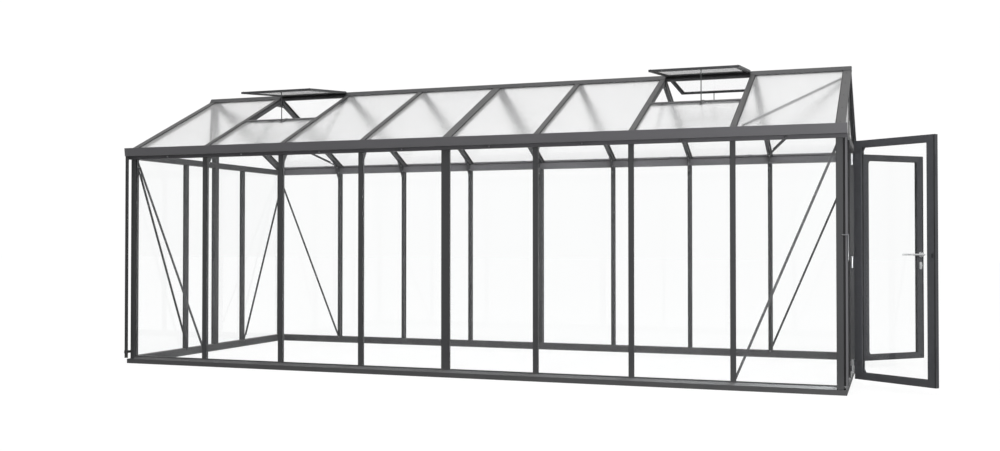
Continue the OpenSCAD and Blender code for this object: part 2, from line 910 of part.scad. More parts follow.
module king_pane() {
    y0 = double_neck_w / 2 + edge_gap;
    y1 = gable_post_y - neck_w / 2 - edge_gap;
    z0 = sill_floor + seat_gap;
    translate([y0, seat_gap, z0]) cube([y1 - y0, glass_t, tie_z + groove_d - edge_gap - z0]);
}

module top_pane(z1) {
    y0 = double_neck_w / 2 + edge_gap;
    y1 = half_w - body_d - edge_gap;
    z0 = z1 - groove_d + edge_gap;
    level = pocket_d - edge_gap - body_d;
    in_wall(seat_gap, seat_gap + glass_t)
        polygon([[y0, z0], [y1, z0], [y1, roof_z(y1, level)], [y0, roof_z(y0, level)]]);
}

// The panes beside the corner posts are notched at the end of the eave beam
module corner_pane(y0, head) {
    y1 = half_w - body_d + pocket_d - edge_gap;
    z0 = sill_floor + seat_gap;
    z1 = head + groove_d - edge_gap;
    beam_y = half_w - body_d - edge_gap;
    beam_z = eave_z - edge_gap;
    in_wall(seat_gap, seat_gap + glass_t)
        polygon([[y0, z0], [y1, z0], [y1, beam_z], [beam_y, beam_z], [beam_y, z1], [y0, z1]]);
}

module left_gable_glass() {
    color(glass_tint) on_left() for (side = [0, 1]) mirror([side, 0, 0]) {
        king_pane();
        corner_pane(gable_post_y + neck_w / 2 + edge_gap, tie_z);
        top_pane(tie_top);
    }
}

module right_gable_glass() {
    color(glass_tint) on_right() for (side = [0, 1]) mirror([side, 0, 0]) {
        corner_pane(jamb_y + jamb_w - pocket_d + edge_gap, head_z);
        top_pane(head_top);
    }
}

function sheet_top(i, vents) =
    len(search(i, vents)) > 0 ? cross_s : (half_w - ridge_half - edge_gap) / pitch_cos;

module roof_sheets(vents) {
    for (i = [0 : bay_count - 1])
        translate([pane_x0(i), -foot_s, seat_gap])
            cube([pane_x1(i) - pane_x0(i), sheet_top(i, vents) + foot_s, sheet_t]);
}

module front_roof_sheets() {
    color(sheet_tint) on_front_slope() roof_sheets([left_vent_bay, right_vent_bay]);
}

module rear_roof_sheets() {
    color(sheet_tint) on_rear_slope() roof_sheets([left_vent_bay]);
}

// Braces, gussets and apex plates

// A flat bar from p to q, given as (x, height), on the inside of a wall
module brace(p, q) {
    run = q - p;
    length = norm(run);
    translate([p[0], -body_d - seat_gap, p[1]]) rotate([0, -atan2(run[1], run[0]), 0])
        translate([-brace_w / 2, -brace_t, -brace_w / 2]) cube([length + brace_w, brace_t, brace_w]);
}

module wall_brace(step) {
    brace([half_l - body_d + brace_w, eave_z - brace_head - step],
        [bar_x(bay_count - 1), brace_foot]);
}

module wall_braces() {
    color(frame_grey) {
        for (side = [0, 1]) mirror([side, 0, 0]) {
            on_front() wall_brace(0);
            on_rear() wall_brace(0);
        }
        on_left() for (side = [0, 1]) mirror([side, 0, 0])
            brace([half_w - body_d + brace_w, eave_z - brace_head - brace_step],
                [gable_post_y, brace_foot]);
    }
}

module roof_brace() {
    p = [half_l - body_d / 2, slope_len - 2 * wing_y];
    q = [bar_x(bay_count - 1) + body_w / 2, 2 * wing_y];
    run = q - p;
    on_front_slope() translate([p[0], p[1], -body_d - seat_gap - brace_t])
        rotate([0, 0, atan2(run[1], run[0])])
            translate([-brace_w / 2, -brace_w / 2, 0]) cube([norm(run) + brace_w, brace_w, brace_t]);
}

module roof_braces() {
    color(frame_grey) for (side = [0, 1], back = [0, 1])
        mirror([side, 0, 0]) mirror([0, back, 0]) roof_brace();
}

module plate_at(x) {
    translate([x - gusset_t / 2, 0, 0]) rotate([90, 0, 90]) linear_extrude(height = gusset_t) children();
}

module eave_gusset_outline() {
    face = half_w - body_d - seat_gap;
    inner = face - gusset_run;
    level = -body_d - seat_gap / pitch_cos;
    polygon([[face, eave_z - gusset_drop], [face, roof_z(face, level)], [inner, roof_z(inner, level)]]);
}

module eave_gussets() {
    color(frame_grey) for (i = [1 : bay_count - 1], back = [0, 1])
        mirror([0, back, 0]) plate_at(bar_x(i)) eave_gusset_outline();
}

module apex_plate_outline() {
    level = -body_d - seat_gap / pitch_cos;
    foot = roof_z(apex_half, level);
    rafter_z = roof_z(ridge_half, level);
    top = ridge_foot - seat_gap;
    polygon([[-apex_half, foot], [apex_half, foot], [ridge_half, rafter_z], [ridge_half, top],
        [-ridge_half, top], [-ridge_half, rafter_z]]);
}

module apex_plates() {
    color(frame_grey) for (i = [1 : bay_count - 1])
        plate_at(bar_x(i)) apex_plate_outline();
}

// Downpipes, one at an end of each gutter

module on_drains() {
    on_front() translate([half_l + pipe_x, pipe_out, 0]) children();
    on_rear() translate([half_l + pipe_x, pipe_out, 0]) children();
}

module downpipes() {
    top = floor_z - seat_gap;
    color(frame_grey) on_drains() translate([0, 0, pipe_foot]) difference() {
        cylinder(r = pipe_r, h = top - pipe_foot);
        translate([0, 0, -pipe_foot]) cylinder(r = pipe_bore_r, h = top + pipe_foot);
    }
}

module downpipe_clip() {
    post_x = corner_out - pipe_x + seat_gap;
    post_y = corner_out - pipe_out - body_d / 2;
    difference() {
        union() {
            cylinder(r = pipe_r + clip_wall, h = clip_h);
            linear_extrude(height = clip_h)
                polygon([[0, 0], [post_x, post_y], [post_x, post_y - clip_wall - pipe_r / 2], [0, -pipe_r]]);
        }
        translate([0, 0, -clip_h]) cylinder(r = pipe_r + seat_gap, h = 3 * clip_h);
    }
}

module downpipe_clips() {
    color(frame_grey) on_drains() translate([0, 0, clip_z - clip_h / 2]) downpipe_clip();
}

module door_holders() {
    middle = half_w - (body_d - corner_out) / 2;
    color(steel_grey) on_right() for (side = [0, 1])
        mirror([side, 0, 0]) translate([middle - holder_w / 2, corner_out + seat_gap, holder_z]) {
            cube([holder_w, holder_t, holder_h]);
            translate([holder_w / 2 - holder_t / 2, 0, 0]) cube([holder_t, holder_out, holder_h]);
        }
}

// Hinges: the pins stay with the jambs, the knuckles go with the leaves

module hinge_pin() {
    base = half_l + leaf_out + seat_gap;
    half = hinge_h / 2;
    web_y = axis_y + knuckle_r - web_t;
    translate([base, web_y, -half]) cube([plate_t, plate_w, half]);
    translate([base, web_y, -half]) cube([axis_x - base, web_t, half]);
    translate([axis_x, axis_y, -half]) cylinder(r = knuckle_r, h = half);
    translate([axis_x, axis_y, -half]) cylinder(r = pin_r, h = hinge_h - plate_t);
}

module hinge_pins() {
    color(steel_grey) for (side = [0, 1], z = hinge_zs)
        mirror([0, side, 0]) translate([0, 0, z]) hinge_pin();
}

// Doors, drawn closed in leaf terms: x from the hinge edge, y from the inner face, z from the ground

module on_rear_leaf() {
    translate([axis_x, axis_y, 0]) rotate([0, 0, rear_open - 90])
        translate([door_gap / 2, -leaf_t - hinge_out, 0]) children();
}

module on_front_leaf() {
    mirror([0, 1, 0]) translate([axis_x, axis_y, 0]) rotate([0, 0, front_open - 90])
        translate([door_gap / 2, -leaf_t - hinge_out, 0]) children();
}

module leaf_space(inset_x, inset_z, y0, y1) {
    translate([inset_x, y0, leaf_foot + inset_z])
        cube([leaf_w - 2 * inset_x, y1 - y0, leaf_h - 2 * inset_z]);
}

module corner_plate(z, down) {
    translate([stile_w, glass_y + wall_slot / 2 + corner_plate_t, z]) rotate([90, 0, 0])
        mirror([0, down, 0]) linear_extrude(height = corner_plate_t)
            polygon([[-leaf_wall, -leaf_wall], [corner_plate_w, -leaf_wall], [corner_plate_w, 0],
                [0, corner_plate_h], [-leaf_wall, corner_plate_h]]);
}

module leaf_frame() {
    tube_x = stile_w - leaf_groove - 2 * leaf_wall;
    tube_z = rail_h - leaf_groove - 2 * leaf_wall;
    tube_y = leaf_t - 2 * leaf_wall;
    rail_len = leaf_w - 2 * stile_w;
    difference() {
        leaf_space(0, 0, 0, leaf_t);
        leaf_space(stile_w, rail_h, -leaf_t, 2 * leaf_t);
        leaf_space(stile_w - leaf_groove, rail_h - leaf_groove,
            glass_y - wall_slot / 2, glass_y + wall_slot / 2);
        for (x = [leaf_wall, leaf_w - leaf_wall - tube_x])
            translate([x, leaf_wall, leaf_foot + leaf_wall]) cube([tube_x, tube_y, leaf_h - 2 * leaf_wall]);
        for (z = [leaf_foot + leaf_wall, leaf_top - leaf_wall - tube_z])
            translate([stile_w, leaf_wall, z]) cube([rail_len, tube_y, tube_z]);
    }
    corner_plate(leaf_foot + rail_h, 0);
    corner_plate(leaf_top - rail_h, 1);
}

module leaf_pane() {
    inset = edge_gap - leaf_groove;
    leaf_space(stile_w + inset, rail_h + inset, glass_y - glass_t / 2, glass_y + glass_t / 2);
}

module leaf_hinges() {
    half = hinge_h / 2;
    for (z = hinge_zs) translate([0, leaf_t, z + seat_gap]) difference() {
        union() {
            translate([door_gap / 2, seat_gap, 0]) cube([plate_w, plate_t, half]);
            translate([door_gap / 2, seat_gap, 0]) cube([web_t - door_gap / 2, hinge_out - seat_gap, half]);
            translate([-door_gap / 2, hinge_out, 0]) cylinder(r = knuckle_r, h = half);
        }
        translate([-door_gap / 2, hinge_out, -half]) cylinder(r = pin_r + pin_play, h = hinge_h);
    }
}

module rear_frame_bored() {
    difference() {
        leaf_frame();
        translate([lever_x, -leaf_t, lever_z]) rotate([-90, 0, 0])
            cylinder(r = spindle_r + spindle_play, h = 3 * leaf_t);
    }
}

module front_leaf_frame() {
    color(door_grey) on_front_leaf() leaf_frame();
}

module front_leaf_glass() {
    color(glass_tint) on_front_leaf() leaf_pane();
}

module front_leaf_hinges() {
    color(steel_grey) on_front_leaf() leaf_hinges();
}

module rear_leaf_frame() {
    color(door_grey) on_rear_leaf() rear_frame_bored();
}

module rear_leaf_glass() {
    color(glass_tint) on_rear_leaf() leaf_pane();
}

module rear_leaf_hinges() {
    color(steel_grey) on_rear_leaf() leaf_hinges();
}

module on_leaf_faces() {
    translate([0, leaf_t, 0]) rotate([-90, 0, 0]) children();
    rotate([90, 0, 0]) children();
}

module rear_leaf_lock() {
    color(steel_grey) on_rear_leaf() translate([lever_x, 0, lever_z]) on_leaf_faces() {
        translate([0, 0, seat_gap]) difference() {
            cylinder(r = rose_r, h = rose_t);
            translate([0, 0, -rose_t]) cylinder(r = spindle_r + spindle_play, h = 3 * rose_t);
        }
    }
    color(steel_grey) on_rear_leaf() translate([lever_x, 0, lever_z - lock_drop]) on_leaf_faces()
        translate([0, 0, seat_gap]) cylinder(r = lock_r, h = rose_t);
}

module lever_side() {
    neck_foot = rose_t + 2 * seat_gap;
    translate([0, 0, neck_foot]) cylinder(r = lever_r, h = lever_reach - neck_foot);
    translate([0, 0, lever_reach]) sphere(r = lever_r);
    translate([0, 0, lever_reach]) rotate([0, -90, 0]) cylinder(r = lever_r, h = lever_len);
    translate([-lever_len, 0, lever_reach]) sphere(r = lever_r);
}

module door_lever() {
    color(steel_grey) on_rear_leaf() translate([lever_x, 0, lever_z]) {
        on_leaf_faces() lever_side();
        translate([0, -lever_reach, 0]) rotate([-90, 0, 0])
            cylinder(r = spindle_r, h = leaf_t + 2 * lever_reach);
    }
}

front_sill();
rear_sill();
left_sill();
right_sill();
front_corner_posts();
rear_corner_posts();
front_wall_bars();
rear_wall_bars();
middle_posts();
gable_posts();
king_posts();
left_gable_tie();
door_head();
door_jambs();
front_gutter();
rear_gutter();
ridge_beam();
gable_rakes();
front_rafters();
rear_rafters();
middle_rafters();
vent_cross_bars();
front_glass();
rear_glass();
left_gable_glass();
right_gable_glass();
front_roof_sheets();
rear_roof_sheets();
front_vent_frames();
rear_vent_frame();
vent_sheets();
vent_stays();
wall_braces();
roof_braces();
eave_gussets();
apex_plates();
downpipes();
downpipe_clips();
door_holders();
hinge_pins();
front_leaf_frame();
front_leaf_glass();
front_leaf_hinges();
rear_leaf_frame();
rear_leaf_glass();
rear_leaf_hinges();
rear_leaf_lock();
door_lever();
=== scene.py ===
# %% [markdown]
# # A greenhouse dressed around its CAD frame
# The solids come from the part's source, packed as one model with four bodies: the standing frame, two door
# leaves and the lever. This lesson adds what the solids leave out: rubber seals, bolts, clips, trim and
# believable finishes. Everything stays in the frame of the CAD model, in metres, so a piece goes where the
# CAD says and needs no fitting.

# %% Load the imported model
import json
import math

import bmesh
import bpy
from mathutils import Matrix, Vector


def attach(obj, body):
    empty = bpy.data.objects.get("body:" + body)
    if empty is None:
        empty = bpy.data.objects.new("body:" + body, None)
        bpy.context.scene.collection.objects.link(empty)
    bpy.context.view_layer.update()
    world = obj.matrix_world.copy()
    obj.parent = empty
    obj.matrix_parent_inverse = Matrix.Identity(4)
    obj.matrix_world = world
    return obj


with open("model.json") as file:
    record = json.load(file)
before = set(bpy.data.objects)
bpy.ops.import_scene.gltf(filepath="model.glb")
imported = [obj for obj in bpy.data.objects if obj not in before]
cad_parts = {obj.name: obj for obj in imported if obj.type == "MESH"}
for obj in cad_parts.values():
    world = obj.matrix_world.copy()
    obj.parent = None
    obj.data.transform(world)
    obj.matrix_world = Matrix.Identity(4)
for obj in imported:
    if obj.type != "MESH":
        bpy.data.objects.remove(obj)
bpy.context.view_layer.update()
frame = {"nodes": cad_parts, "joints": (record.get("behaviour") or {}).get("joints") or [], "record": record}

# %% [markdown]
# ## Sizes
# The script can't open the part's source, so the few sizes that it needs are repeated here in metres. The
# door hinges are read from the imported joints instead, because the low end of each range is the closed door.
# A length that only one piece needs is named in that piece's own cell.

# %% Sizes repeated from the part
BAYS = 8
PITCH = 0.742
HALF_L = BAYS * PITCH / 2
HALF_W = 1.2125
EAVE_Z = 1.781
ROOF_SEAT = 1.860
SLOPE = math.radians(25)
SEAT_GAP = 0.0003
BODY_D = 0.034
BODY_HALF = 0.015
CAP_HALF = 0.019
DOUBLE_BODY_HALF = 0.028
DOUBLE_CAP_HALF = 0.033
CORNER_OUT = 0.012
RAKE_OUT = 0.024
CAP_OUT = 0.0076
GLASS_IN = SEAT_GAP
GLASS_OUT = 0.0043
SHEET_TOP = 0.0103
ROOF_CAP_TOP = 0.0136
SILL_H = 0.062
FOOT_OVER = 0.040
MIDDLE = BAYS // 2
SLOPE_LEN = HALF_W / math.cos(SLOPE)
APEX_Z = ROOF_SEAT + HALF_W * math.tan(SLOPE)
print("length between gable glass:", round(2 * HALF_L, 3), "slope:", round(SLOPE_LEN, 3))

# %% Sizes of the ridge and the vents
RIDGE_RISE, RIDGE_DEPTH = 0.031, 0.048
RIDGE_TOP = APEX_Z + RIDGE_RISE
RIDGE_FOOT = RIDGE_TOP - RIDGE_DEPTH
RIDGE_HALF, RIDGE_FLAT = 0.020, 0.018
WING_Y, WING_LAP = 0.046, 0.004
WING_Z = APEX_Z - (WING_Y - WING_LAP) * math.tan(SLOPE) + ROOF_CAP_TOP / math.cos(SLOPE) + SEAT_GAP
VENT_BAYS = {"front": (1, BAYS - 2), "rear": (1,)}
VENT_TILT = math.radians(5)
VENT_ROLL = (0.0273, 2.4548)
VENT_W = 0.702
VENT_LEN = 0.677
VENT_RAIL = 0.028
VENT_T = 0.018
print("top of the ridge:", round(RIDGE_TOP, 3))

# %% [markdown]
# ## Places
# A bolt on a roof slope is easy to give as "so far along, so far up the slope, so far out". Each function
# below turns such a place on one wall, slope, vent or leaf into a point of the shared frame. The same
# function also gives directions: a step of one metre outwards, minus the point itself.

# %% Places on walls and slopes
def bar_x(i):
    return i * PITCH - HALF_L


def front_wall(s, out, z):
    return Vector((s, -HALF_W - out, z))


def rear_wall(s, out, z):
    return Vector((s, HALF_W + out, z))


def left_gable(s, out, z):
    return Vector((-HALF_L - out, s, z))


def right_gable(s, out, z):
    return Vector((HALF_L + out, s, z))


def in_house(x, y, z):
    return Vector((x, y, z))


def half_turn(p):
    return Vector((-p.x, -p.y, p.z))


def front_slope(x, s, r):
    return Vector((x, -HALF_W + s * math.cos(SLOPE) - r * math.sin(SLOPE),
                   ROOF_SEAT + s * math.sin(SLOPE) + r * math.cos(SLOPE)))


def rear_slope(x, s, r):
    return half_turn(front_slope(x, s, r))


def on_vent(i, side):
    """A place on a vent: so far across, so far from its hinge and so far out of its middle plane."""
    def place(s, d, r):
        p = Vector((bar_x(i) + PITCH / 2 + s,
                    -VENT_ROLL[0] - d * math.cos(VENT_TILT) - r * math.sin(VENT_TILT),
                    VENT_ROLL[1] - d * math.sin(VENT_TILT) + r * math.cos(VENT_TILT)))
        return p if side == "front" else half_turn(p)
    return place


def toward(place, at, step):
    return (place(*(Vector(at) + Vector(step))) - place(*at)).normalized()


def roof_z(y, r):
    return ROOF_SEAT + (HALF_W - y) * math.tan(SLOPE) + r / math.cos(SLOPE)


LONG_WALLS = {"front": front_wall, "rear": rear_wall}
SLOPES = {"front": front_slope, "rear": rear_slope}
VENTS = [on_vent(i, side) for side, bays in VENT_BAYS.items() for i in bays]
print("ridge line at", round(roof_z(0, 0), 3), "m")

# %% Places on the door leaves
DOOR_GAP = 0.005
LEAF_W = 0.666
LEAF_T = 0.034
LEAF_FOOT = 0.050
LEAF_TOP = 1.801
STILE = 0.065
RAIL = 0.050
HINGE_OUT = 0.020
LEVER_X = LEAF_W - STILE / 2
LEVER_Z = 0.948
LOCK_DROP = 0.096
LOCK_Z = LEVER_Z - LOCK_DROP
ROSE_TOP = 0.0073
hinges = {j["name"]: j for j in frame["joints"]}


def leaf_place(joint, side):
    pivot = Vector(hinges[joint]["pos_m"])
    opened = math.radians(-hinges[joint]["range_deg"][0])
    turn = Matrix.Rotation(opened - math.pi / 2, 3, "Z")

    def place(x, y, z):
        p = turn @ Vector((x + DOOR_GAP / 2, y - LEAF_T - HINGE_OUT, z))
        return Vector((pivot.x + p.x, pivot.y + side * p.y, z))
    return place


rear_leaf = leaf_place("rear_door_hinge", 1)
front_leaf = leaf_place("front_door_hinge", -1)
LEAVES = {"front_leaf": front_leaf, "rear_leaf": rear_leaf}
print("free edge of the front leaf at", [round(v, 3) for v in front_leaf(LEAF_W, 0, 1)])

# %% [markdown]
# ## Node helpers
# Geometry Nodes and shader nodes are both built the same way: make a node, then give each input a value or
# a link. One small function does both, so every tree below reads like a list of parts.

# %% Helpers for node trees
def feed(tree, node, inputs):
    """Gives each input of a node a link, where the value is a socket, or else a plain value."""
    for key, value in inputs.items():
        if isinstance(value, bpy.types.NodeSocket):
            tree.links.new(value, node.inputs[key])
        else:
            node.inputs[key].default_value = value


def add(tree, kind, inputs=None, **settings):
    node = tree.nodes.new(kind)
    for key, value in settings.items():
        setattr(node, key, value)
    feed(tree, node, inputs or {})
    return node


def calc(tree, operation, *values, clamp=False):
    inputs = dict(enumerate(values))
    return add(tree, "ShaderNodeMath", inputs, operation=operation, use_clamp=clamp).outputs[0]


def geometry_tree(name, sizes):
    tree = bpy.data.node_groups.new(name, "GeometryNodeTree")
    tree.interface.new_socket("Geometry", in_out="INPUT", socket_type="NodeSocketGeometry")
    for label, kind in sizes.items():
        tree.interface.new_socket(label, in_out="INPUT", socket_type="NodeSocket" + kind)
    tree.interface.new_socket("Geometry", in_out="OUTPUT", socket_type="NodeSocketGeometry")
    return tree, tree.nodes.new("NodeGroupInput").outputs


def close_tree(tree, geometry, finish, smooth):
    real = add(tree, "GeometryNodeRealizeInstances", {"Geometry": geometry})
    shade = add(tree, "GeometryNodeSetShadeSmooth", {"Geometry": real.outputs[0], "Shade Smooth": smooth})
    coat = add(tree, "GeometryNodeSetMaterial", {"Geometry": shade.outputs[0], "Material": finish})
    add(tree, "NodeGroupOutput", {"Geometry": coat.outputs[0]})


def keep(name, mesh, body):
    piece = bpy.data.objects.new(name, mesh)
    mesh.name = name
    bpy.context.scene.collection.objects.link(piece)
    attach(piece, body)
    print(name, "on", body, "with", len(mesh.polygons), "faces")
    return piece


def grow(name, seed, tree, values, body):
    """Runs a tree on a seed mesh and keeps the result as a plain mesh that rides on one body."""
    holder = bpy.data.objects.new(name + "_seed", seed)
    bpy.context.scene.collection.objects.link(holder)
    modifier = holder.modifiers.new("grow", "NODES")
    modifier.node_group = tree
    for item in tree.interface.items_tree:
        if item.in_out == "INPUT" and item.name in values:
            modifier[item.identifier] = values[item.name]
    depsgraph = bpy.context.evaluated_depsgraph_get()
    mesh = bpy.data.meshes.new_from_object(holder.evaluated_get(depsgraph), depsgraph=depsgraph)
    holder.modifiers.remove(modifier)
    bpy.data.objects.remove(holder)
    return keep(name, mesh, body)

# %% [markdown]
# ## Shared surface effects
# Powder coat has a fine orange-peel grain and never dries to one even tone. Outdoors, dust settles on what
# faces up and rain splashes soil on what is near the ground. Both effects show on several finishes, so each
# is a node group that puts out plain masks and values. The shaders themselves stay in the materials.

# %% Grain group
def shader_group(name, inputs, outputs):
    group = bpy.data.node_groups.new(name, "ShaderNodeTree")
    for label, value in inputs.items():
        socket = group.interface.new_socket(label, in_out="INPUT", socket_type="NodeSocketFloat")
        socket.default_value = value
    for label in outputs:
        group.interface.new_socket(label, in_out="OUTPUT", socket_type="NodeSocketFloat")
    return group, group.nodes.new("NodeGroupInput").outputs, group.nodes.new("NodeGroupOutput")


def object_place(tree):
    return add(tree, "ShaderNodeTexCoord").outputs["Object"]


def noise(tree, where, scale, detail):
    return add(tree, "ShaderNodeTexNoise", {"Vector": where, "Scale": scale, "Detail": detail}).outputs["Fac"]


def spread(tree, value, low, high, start=0.0, end=1.0):
    return add(tree, "ShaderNodeMapRange", {"Value": value, "From Min": start, "From Max": end,
                                            "To Min": low, "To Max": high}).outputs[0]


TONE_HIGH = 1.08
grain, grain_in, grain_out = shader_group(
    "Coat grain",
    {"Grain scale": 700.0, "Cloud scale": 3.0, "Rough low": 0.4, "Rough high": 0.5, "Tone low": 0.9},
    ("Tone", "Roughness", "Height"))
where = object_place(grain)
cloud = noise(grain, where, grain_in["Cloud scale"], 4.0)
feed(grain, grain_out, {
    "Tone": spread(grain, cloud, grain_in["Tone low"], TONE_HIGH),
    "Roughness": spread(grain, cloud, grain_in["Rough high"], grain_in["Rough low"]),
    "Height": noise(grain, where, grain_in["Grain scale"], 2.0)})
print("group:", grain.name)

# %% Dust group
def axis_of(tree, vector, axis):
    return add(tree, "ShaderNodeSeparateXYZ", {0: vector}).outputs[axis]


LYING_FROM, SPLASH_MOST = 0.55, 0.5
dust, dust_in, dust_out = shader_group(
    "Settled dust", {"Amount": 0.3, "Splash height": 0.16, "Patch scale": 9.0}, ("Mask",))
where = object_place(dust)
normal = add(dust, "ShaderNodeNewGeometry").outputs["Normal"]
lying = spread(dust, axis_of(dust, normal, "Z"), 0.0, 1.0, LYING_FROM)
splash = spread(dust, axis_of(dust, where, "Z"), 0.0, SPLASH_MOST, dust_in["Splash height"], 0.0)
patch = noise(dust, where, dust_in["Patch scale"], 5.0)
patchy = calc(dust, "MULTIPLY", calc(dust, "MAXIMUM", lying, splash), patch)
feed(dust, dust_out, {"Mask": calc(dust, "MULTIPLY", patchy, dust_in["Amount"], clamp=True)})
print("group:", dust.name)

# %% [markdown]
# ## Finishes
# A finish is a Principled shader whose colour, roughness and bump come from the groups above. The frame is
# anthracite powder coat. The doors' coat is a cooler, slightly lighter copy of it, which is painted shade and
# painted light on the leaves. The gutters and the corner covers get a lighter copy, which is painted light
# from above and a painted highlight line, and the downpipes a darker one. The sills are a little smoother, so
# they catch the light.

# %% Coated metal
DUST_TONE = (0.34, 0.33, 0.31, 1.0)
# The door tone is the frame tone made cooler and a little lighter, as painted shade and painted light on the
# leaves.
DOOR_PAINTED_LIGHT_TONE = (0.064, 0.066, 0.073)
PEEL_DEPTH = 0.0003


def new_finish(name):
    finish = bpy.data.materials.new(name)
    finish.use_nodes = True
    tree = finish.node_tree
    return finish, tree, tree.nodes["Principled BSDF"], tree.nodes["Material Output"]


def use_group(tree, group, **values):
    node = add(tree, "ShaderNodeGroup", node_tree=group)
    for label, value in values.items():
        node.inputs[label.replace("_", " ").capitalize()].default_value = value
    return node.outputs


def scaled(tree, colour, tone):
    return add(tree, "ShaderNodeVectorMath", {0: colour, "Scale": tone}, operation="SCALE").outputs[0]


def blend(tree, share, first, second):
    return add(tree, "ShaderNodeMix", {"Factor": share, 6: first, 7: second}, data_type="RGBA").outputs[2]


def relief(tree, height, strength, depth):
    return add(tree, "ShaderNodeBump", {"Height": height, "Strength": strength, "Distance": depth}).outputs[0]


def under_dust(tree, colour, tone, dusty):
    """Tones a colour and lays dust over it, and gives the mixed colour and the dust's mask."""
    mask = use_group(tree, dust, amount=dusty)["Mask"]
    return blend(tree, mask, scaled(tree, colour, tone), DUST_TONE), mask


def grained(name, colour, dusty, bump=0.12, **grain_values):
    finish, tree, shader, _ = new_finish(name)
    surface = use_group(tree, grain, **grain_values)
    mixed, mask = under_dust(tree, colour, surface["Tone"], dusty)
    feed(tree, shader, {
        "Base Color": mixed,
        "Roughness": calc(tree, "ADD", surface["Roughness"], mask, clamp=True),
        "Normal": relief(tree, surface["Height"], bump, PEEL_DEPTH)})
    return finish


frame_coat = grained("frame_coat", (0.062, 0.063, 0.066), 0.25)
door_painted_light_coat = grained("door_painted_light_coat", DOOR_PAINTED_LIGHT_TONE, 0.2)
sill_coat = grained("sill_coat", (0.079, 0.080, 0.083), 0.2, rough_low=0.32, rough_high=0.42)
pipe_coat = grained("pipe_coat", (0.030, 0.030, 0.032), 0.2)
# The gutter coat is the frame coat made lighter: it is painted light from above on the gutters and their
# straps.
gutter_painted_light_coat = grained("gutter_painted_light_coat", (0.160, 0.158, 0.168), 0.3, rough_low=0.34, rough_high=0.44)
seal_rubber = grained("seal_rubber", (0.012, 0.012, 0.013), 0.15, bump=0.2, grain_scale=1500.0, rough_low=0.6,
                      rough_high=0.75)
# The black of the catch is partly a nylon part and partly painted shade of the keep's recess.
black_nylon_and_painted_shade = grained("black_nylon_and_painted_shade", (0.018, 0.018, 0.020), 0.15, grain_scale=1200.0)
print("coated finishes:", frame_coat.name, door_painted_light_coat.name, gutter_painted_light_coat.name)

# %% [markdown]
# ## Bare steel
# The bolts, the clips, the door holders and the latch are brushed steel, and the lever and its lock plates
# are satin nickel. Brushing leaves fine lines that run along the part. A noise texture that is squeezed in
# two directions and stretched in the third gives those lines.

# %% Brushed steel
STEEL_TONE = (0.62, 0.63, 0.64)
LINE_DEPTH = 0.0002
UPRIGHT_LINES, LEVEL_LINES = (20.0, 20.0, 1.0), (1.0, 20.0, 20.0)


def brushed(name, colour, stretch, metallic=1.0):
    finish, tree, shader, _ = new_finish(name)
    along = add(tree, "ShaderNodeMapping", {"Vector": object_place(tree), "Scale": stretch})
    lines = noise(tree, along.outputs[0], 90.0, 3.0)
    mixed, _ = under_dust(tree, colour, spread(tree, lines, 0.88, TONE_HIGH), 0.12)
    feed(tree, shader, {
        "Base Color": mixed, "Metallic": metallic, "Roughness": spread(tree, lines, 0.24, 0.4),
        "Normal": relief(tree, lines, 0.08, LINE_DEPTH)})
    return finish


steel = brushed("brushed_steel", STEEL_TONE, UPRIGHT_LINES)
dull_steel = brushed("dull_steel", (0.30, 0.305, 0.31), UPRIGHT_LINES)
satin_nickel = brushed("satin_nickel", (0.86, 0.865, 0.87), LEVEL_LINES, metallic=0.55)
print("steel finishes:", steel.name, dull_steel.name, satin_nickel.name)

# %% [markdown]
# ## Hinges
# Only the knuckles of the hinges are bare. Their plates were coated with the door, so the finish looks up
# how far a point is from the hinge axis and changes from steel to coat there. Both hinge axes are the same
# distance from the middle of the house, so one mask serves both doors.

# %% Hinge finish
AXIS = tuple(abs(v) for v in hinges["rear_door_hinge"]["pos_m"][:2])
KNUCKLE_EDGE = 0.0095
KNUCKLE_ROUGH = 0.3


def hinge_finish():
    finish, tree, shader, _ = new_finish("hinge_metal")
    where = object_place(tree)
    aside = calc(tree, "ABSOLUTE", axis_of(tree, where, "Y"))
    spot = add(tree, "ShaderNodeCombineXYZ", {"X": axis_of(tree, where, "X"), "Y": aside}).outputs[0]
    away = add(tree, "ShaderNodeVectorMath", {0: spot, 1: (*AXIS, 0.0)}, operation="DISTANCE")
    coated = calc(tree, "GREATER_THAN", away.outputs["Value"], KNUCKLE_EDGE)
    surface = use_group(tree, grain)
    gloss = add(tree, "ShaderNodeMix", {"Factor": coated, 2: KNUCKLE_ROUGH, 3: surface["Roughness"]})
    feed(tree, shader, {
        "Base Color": blend(tree, coated, (*STEEL_TONE, 1.0), (*DOOR_PAINTED_LIGHT_TONE, 1.0)),
        "Roughness": gloss.outputs[0],
        "Metallic": calc(tree, "SUBTRACT", 1.0, coated)})
    return finish


hinge_metal = hinge_finish()
print("hinge finish:", hinge_metal.name)

# %% [markdown]
# ## Glass and roof sheet
# The wall glass is clear and thin. A real pane lets daylight through, but a ray tracer treats glass as a
# wall for shadow rays, so a Light Path node swaps in a transparent shader for those rays only. The roof is
# milky twin-wall sheet. Inside it, thin ribs run up the slope about a centimetre apart, and its rough walls
# blur whatever is behind. The vents hold a clearer sheet of the same kind.

# %% Clear glass and milky sheet
def let_light_through(tree, shader, output, tint):
    clear = add(tree, "ShaderNodeBsdfTransparent", {"Color": tint}).outputs[0]
    in_shadow = add(tree, "ShaderNodeLightPath").outputs["Is Shadow Ray"]
    swap = add(tree, "ShaderNodeMixShader", {0: in_shadow, 1: shader.outputs[0], 2: clear})
    feed(tree, output, {"Surface": swap.outputs[0]})


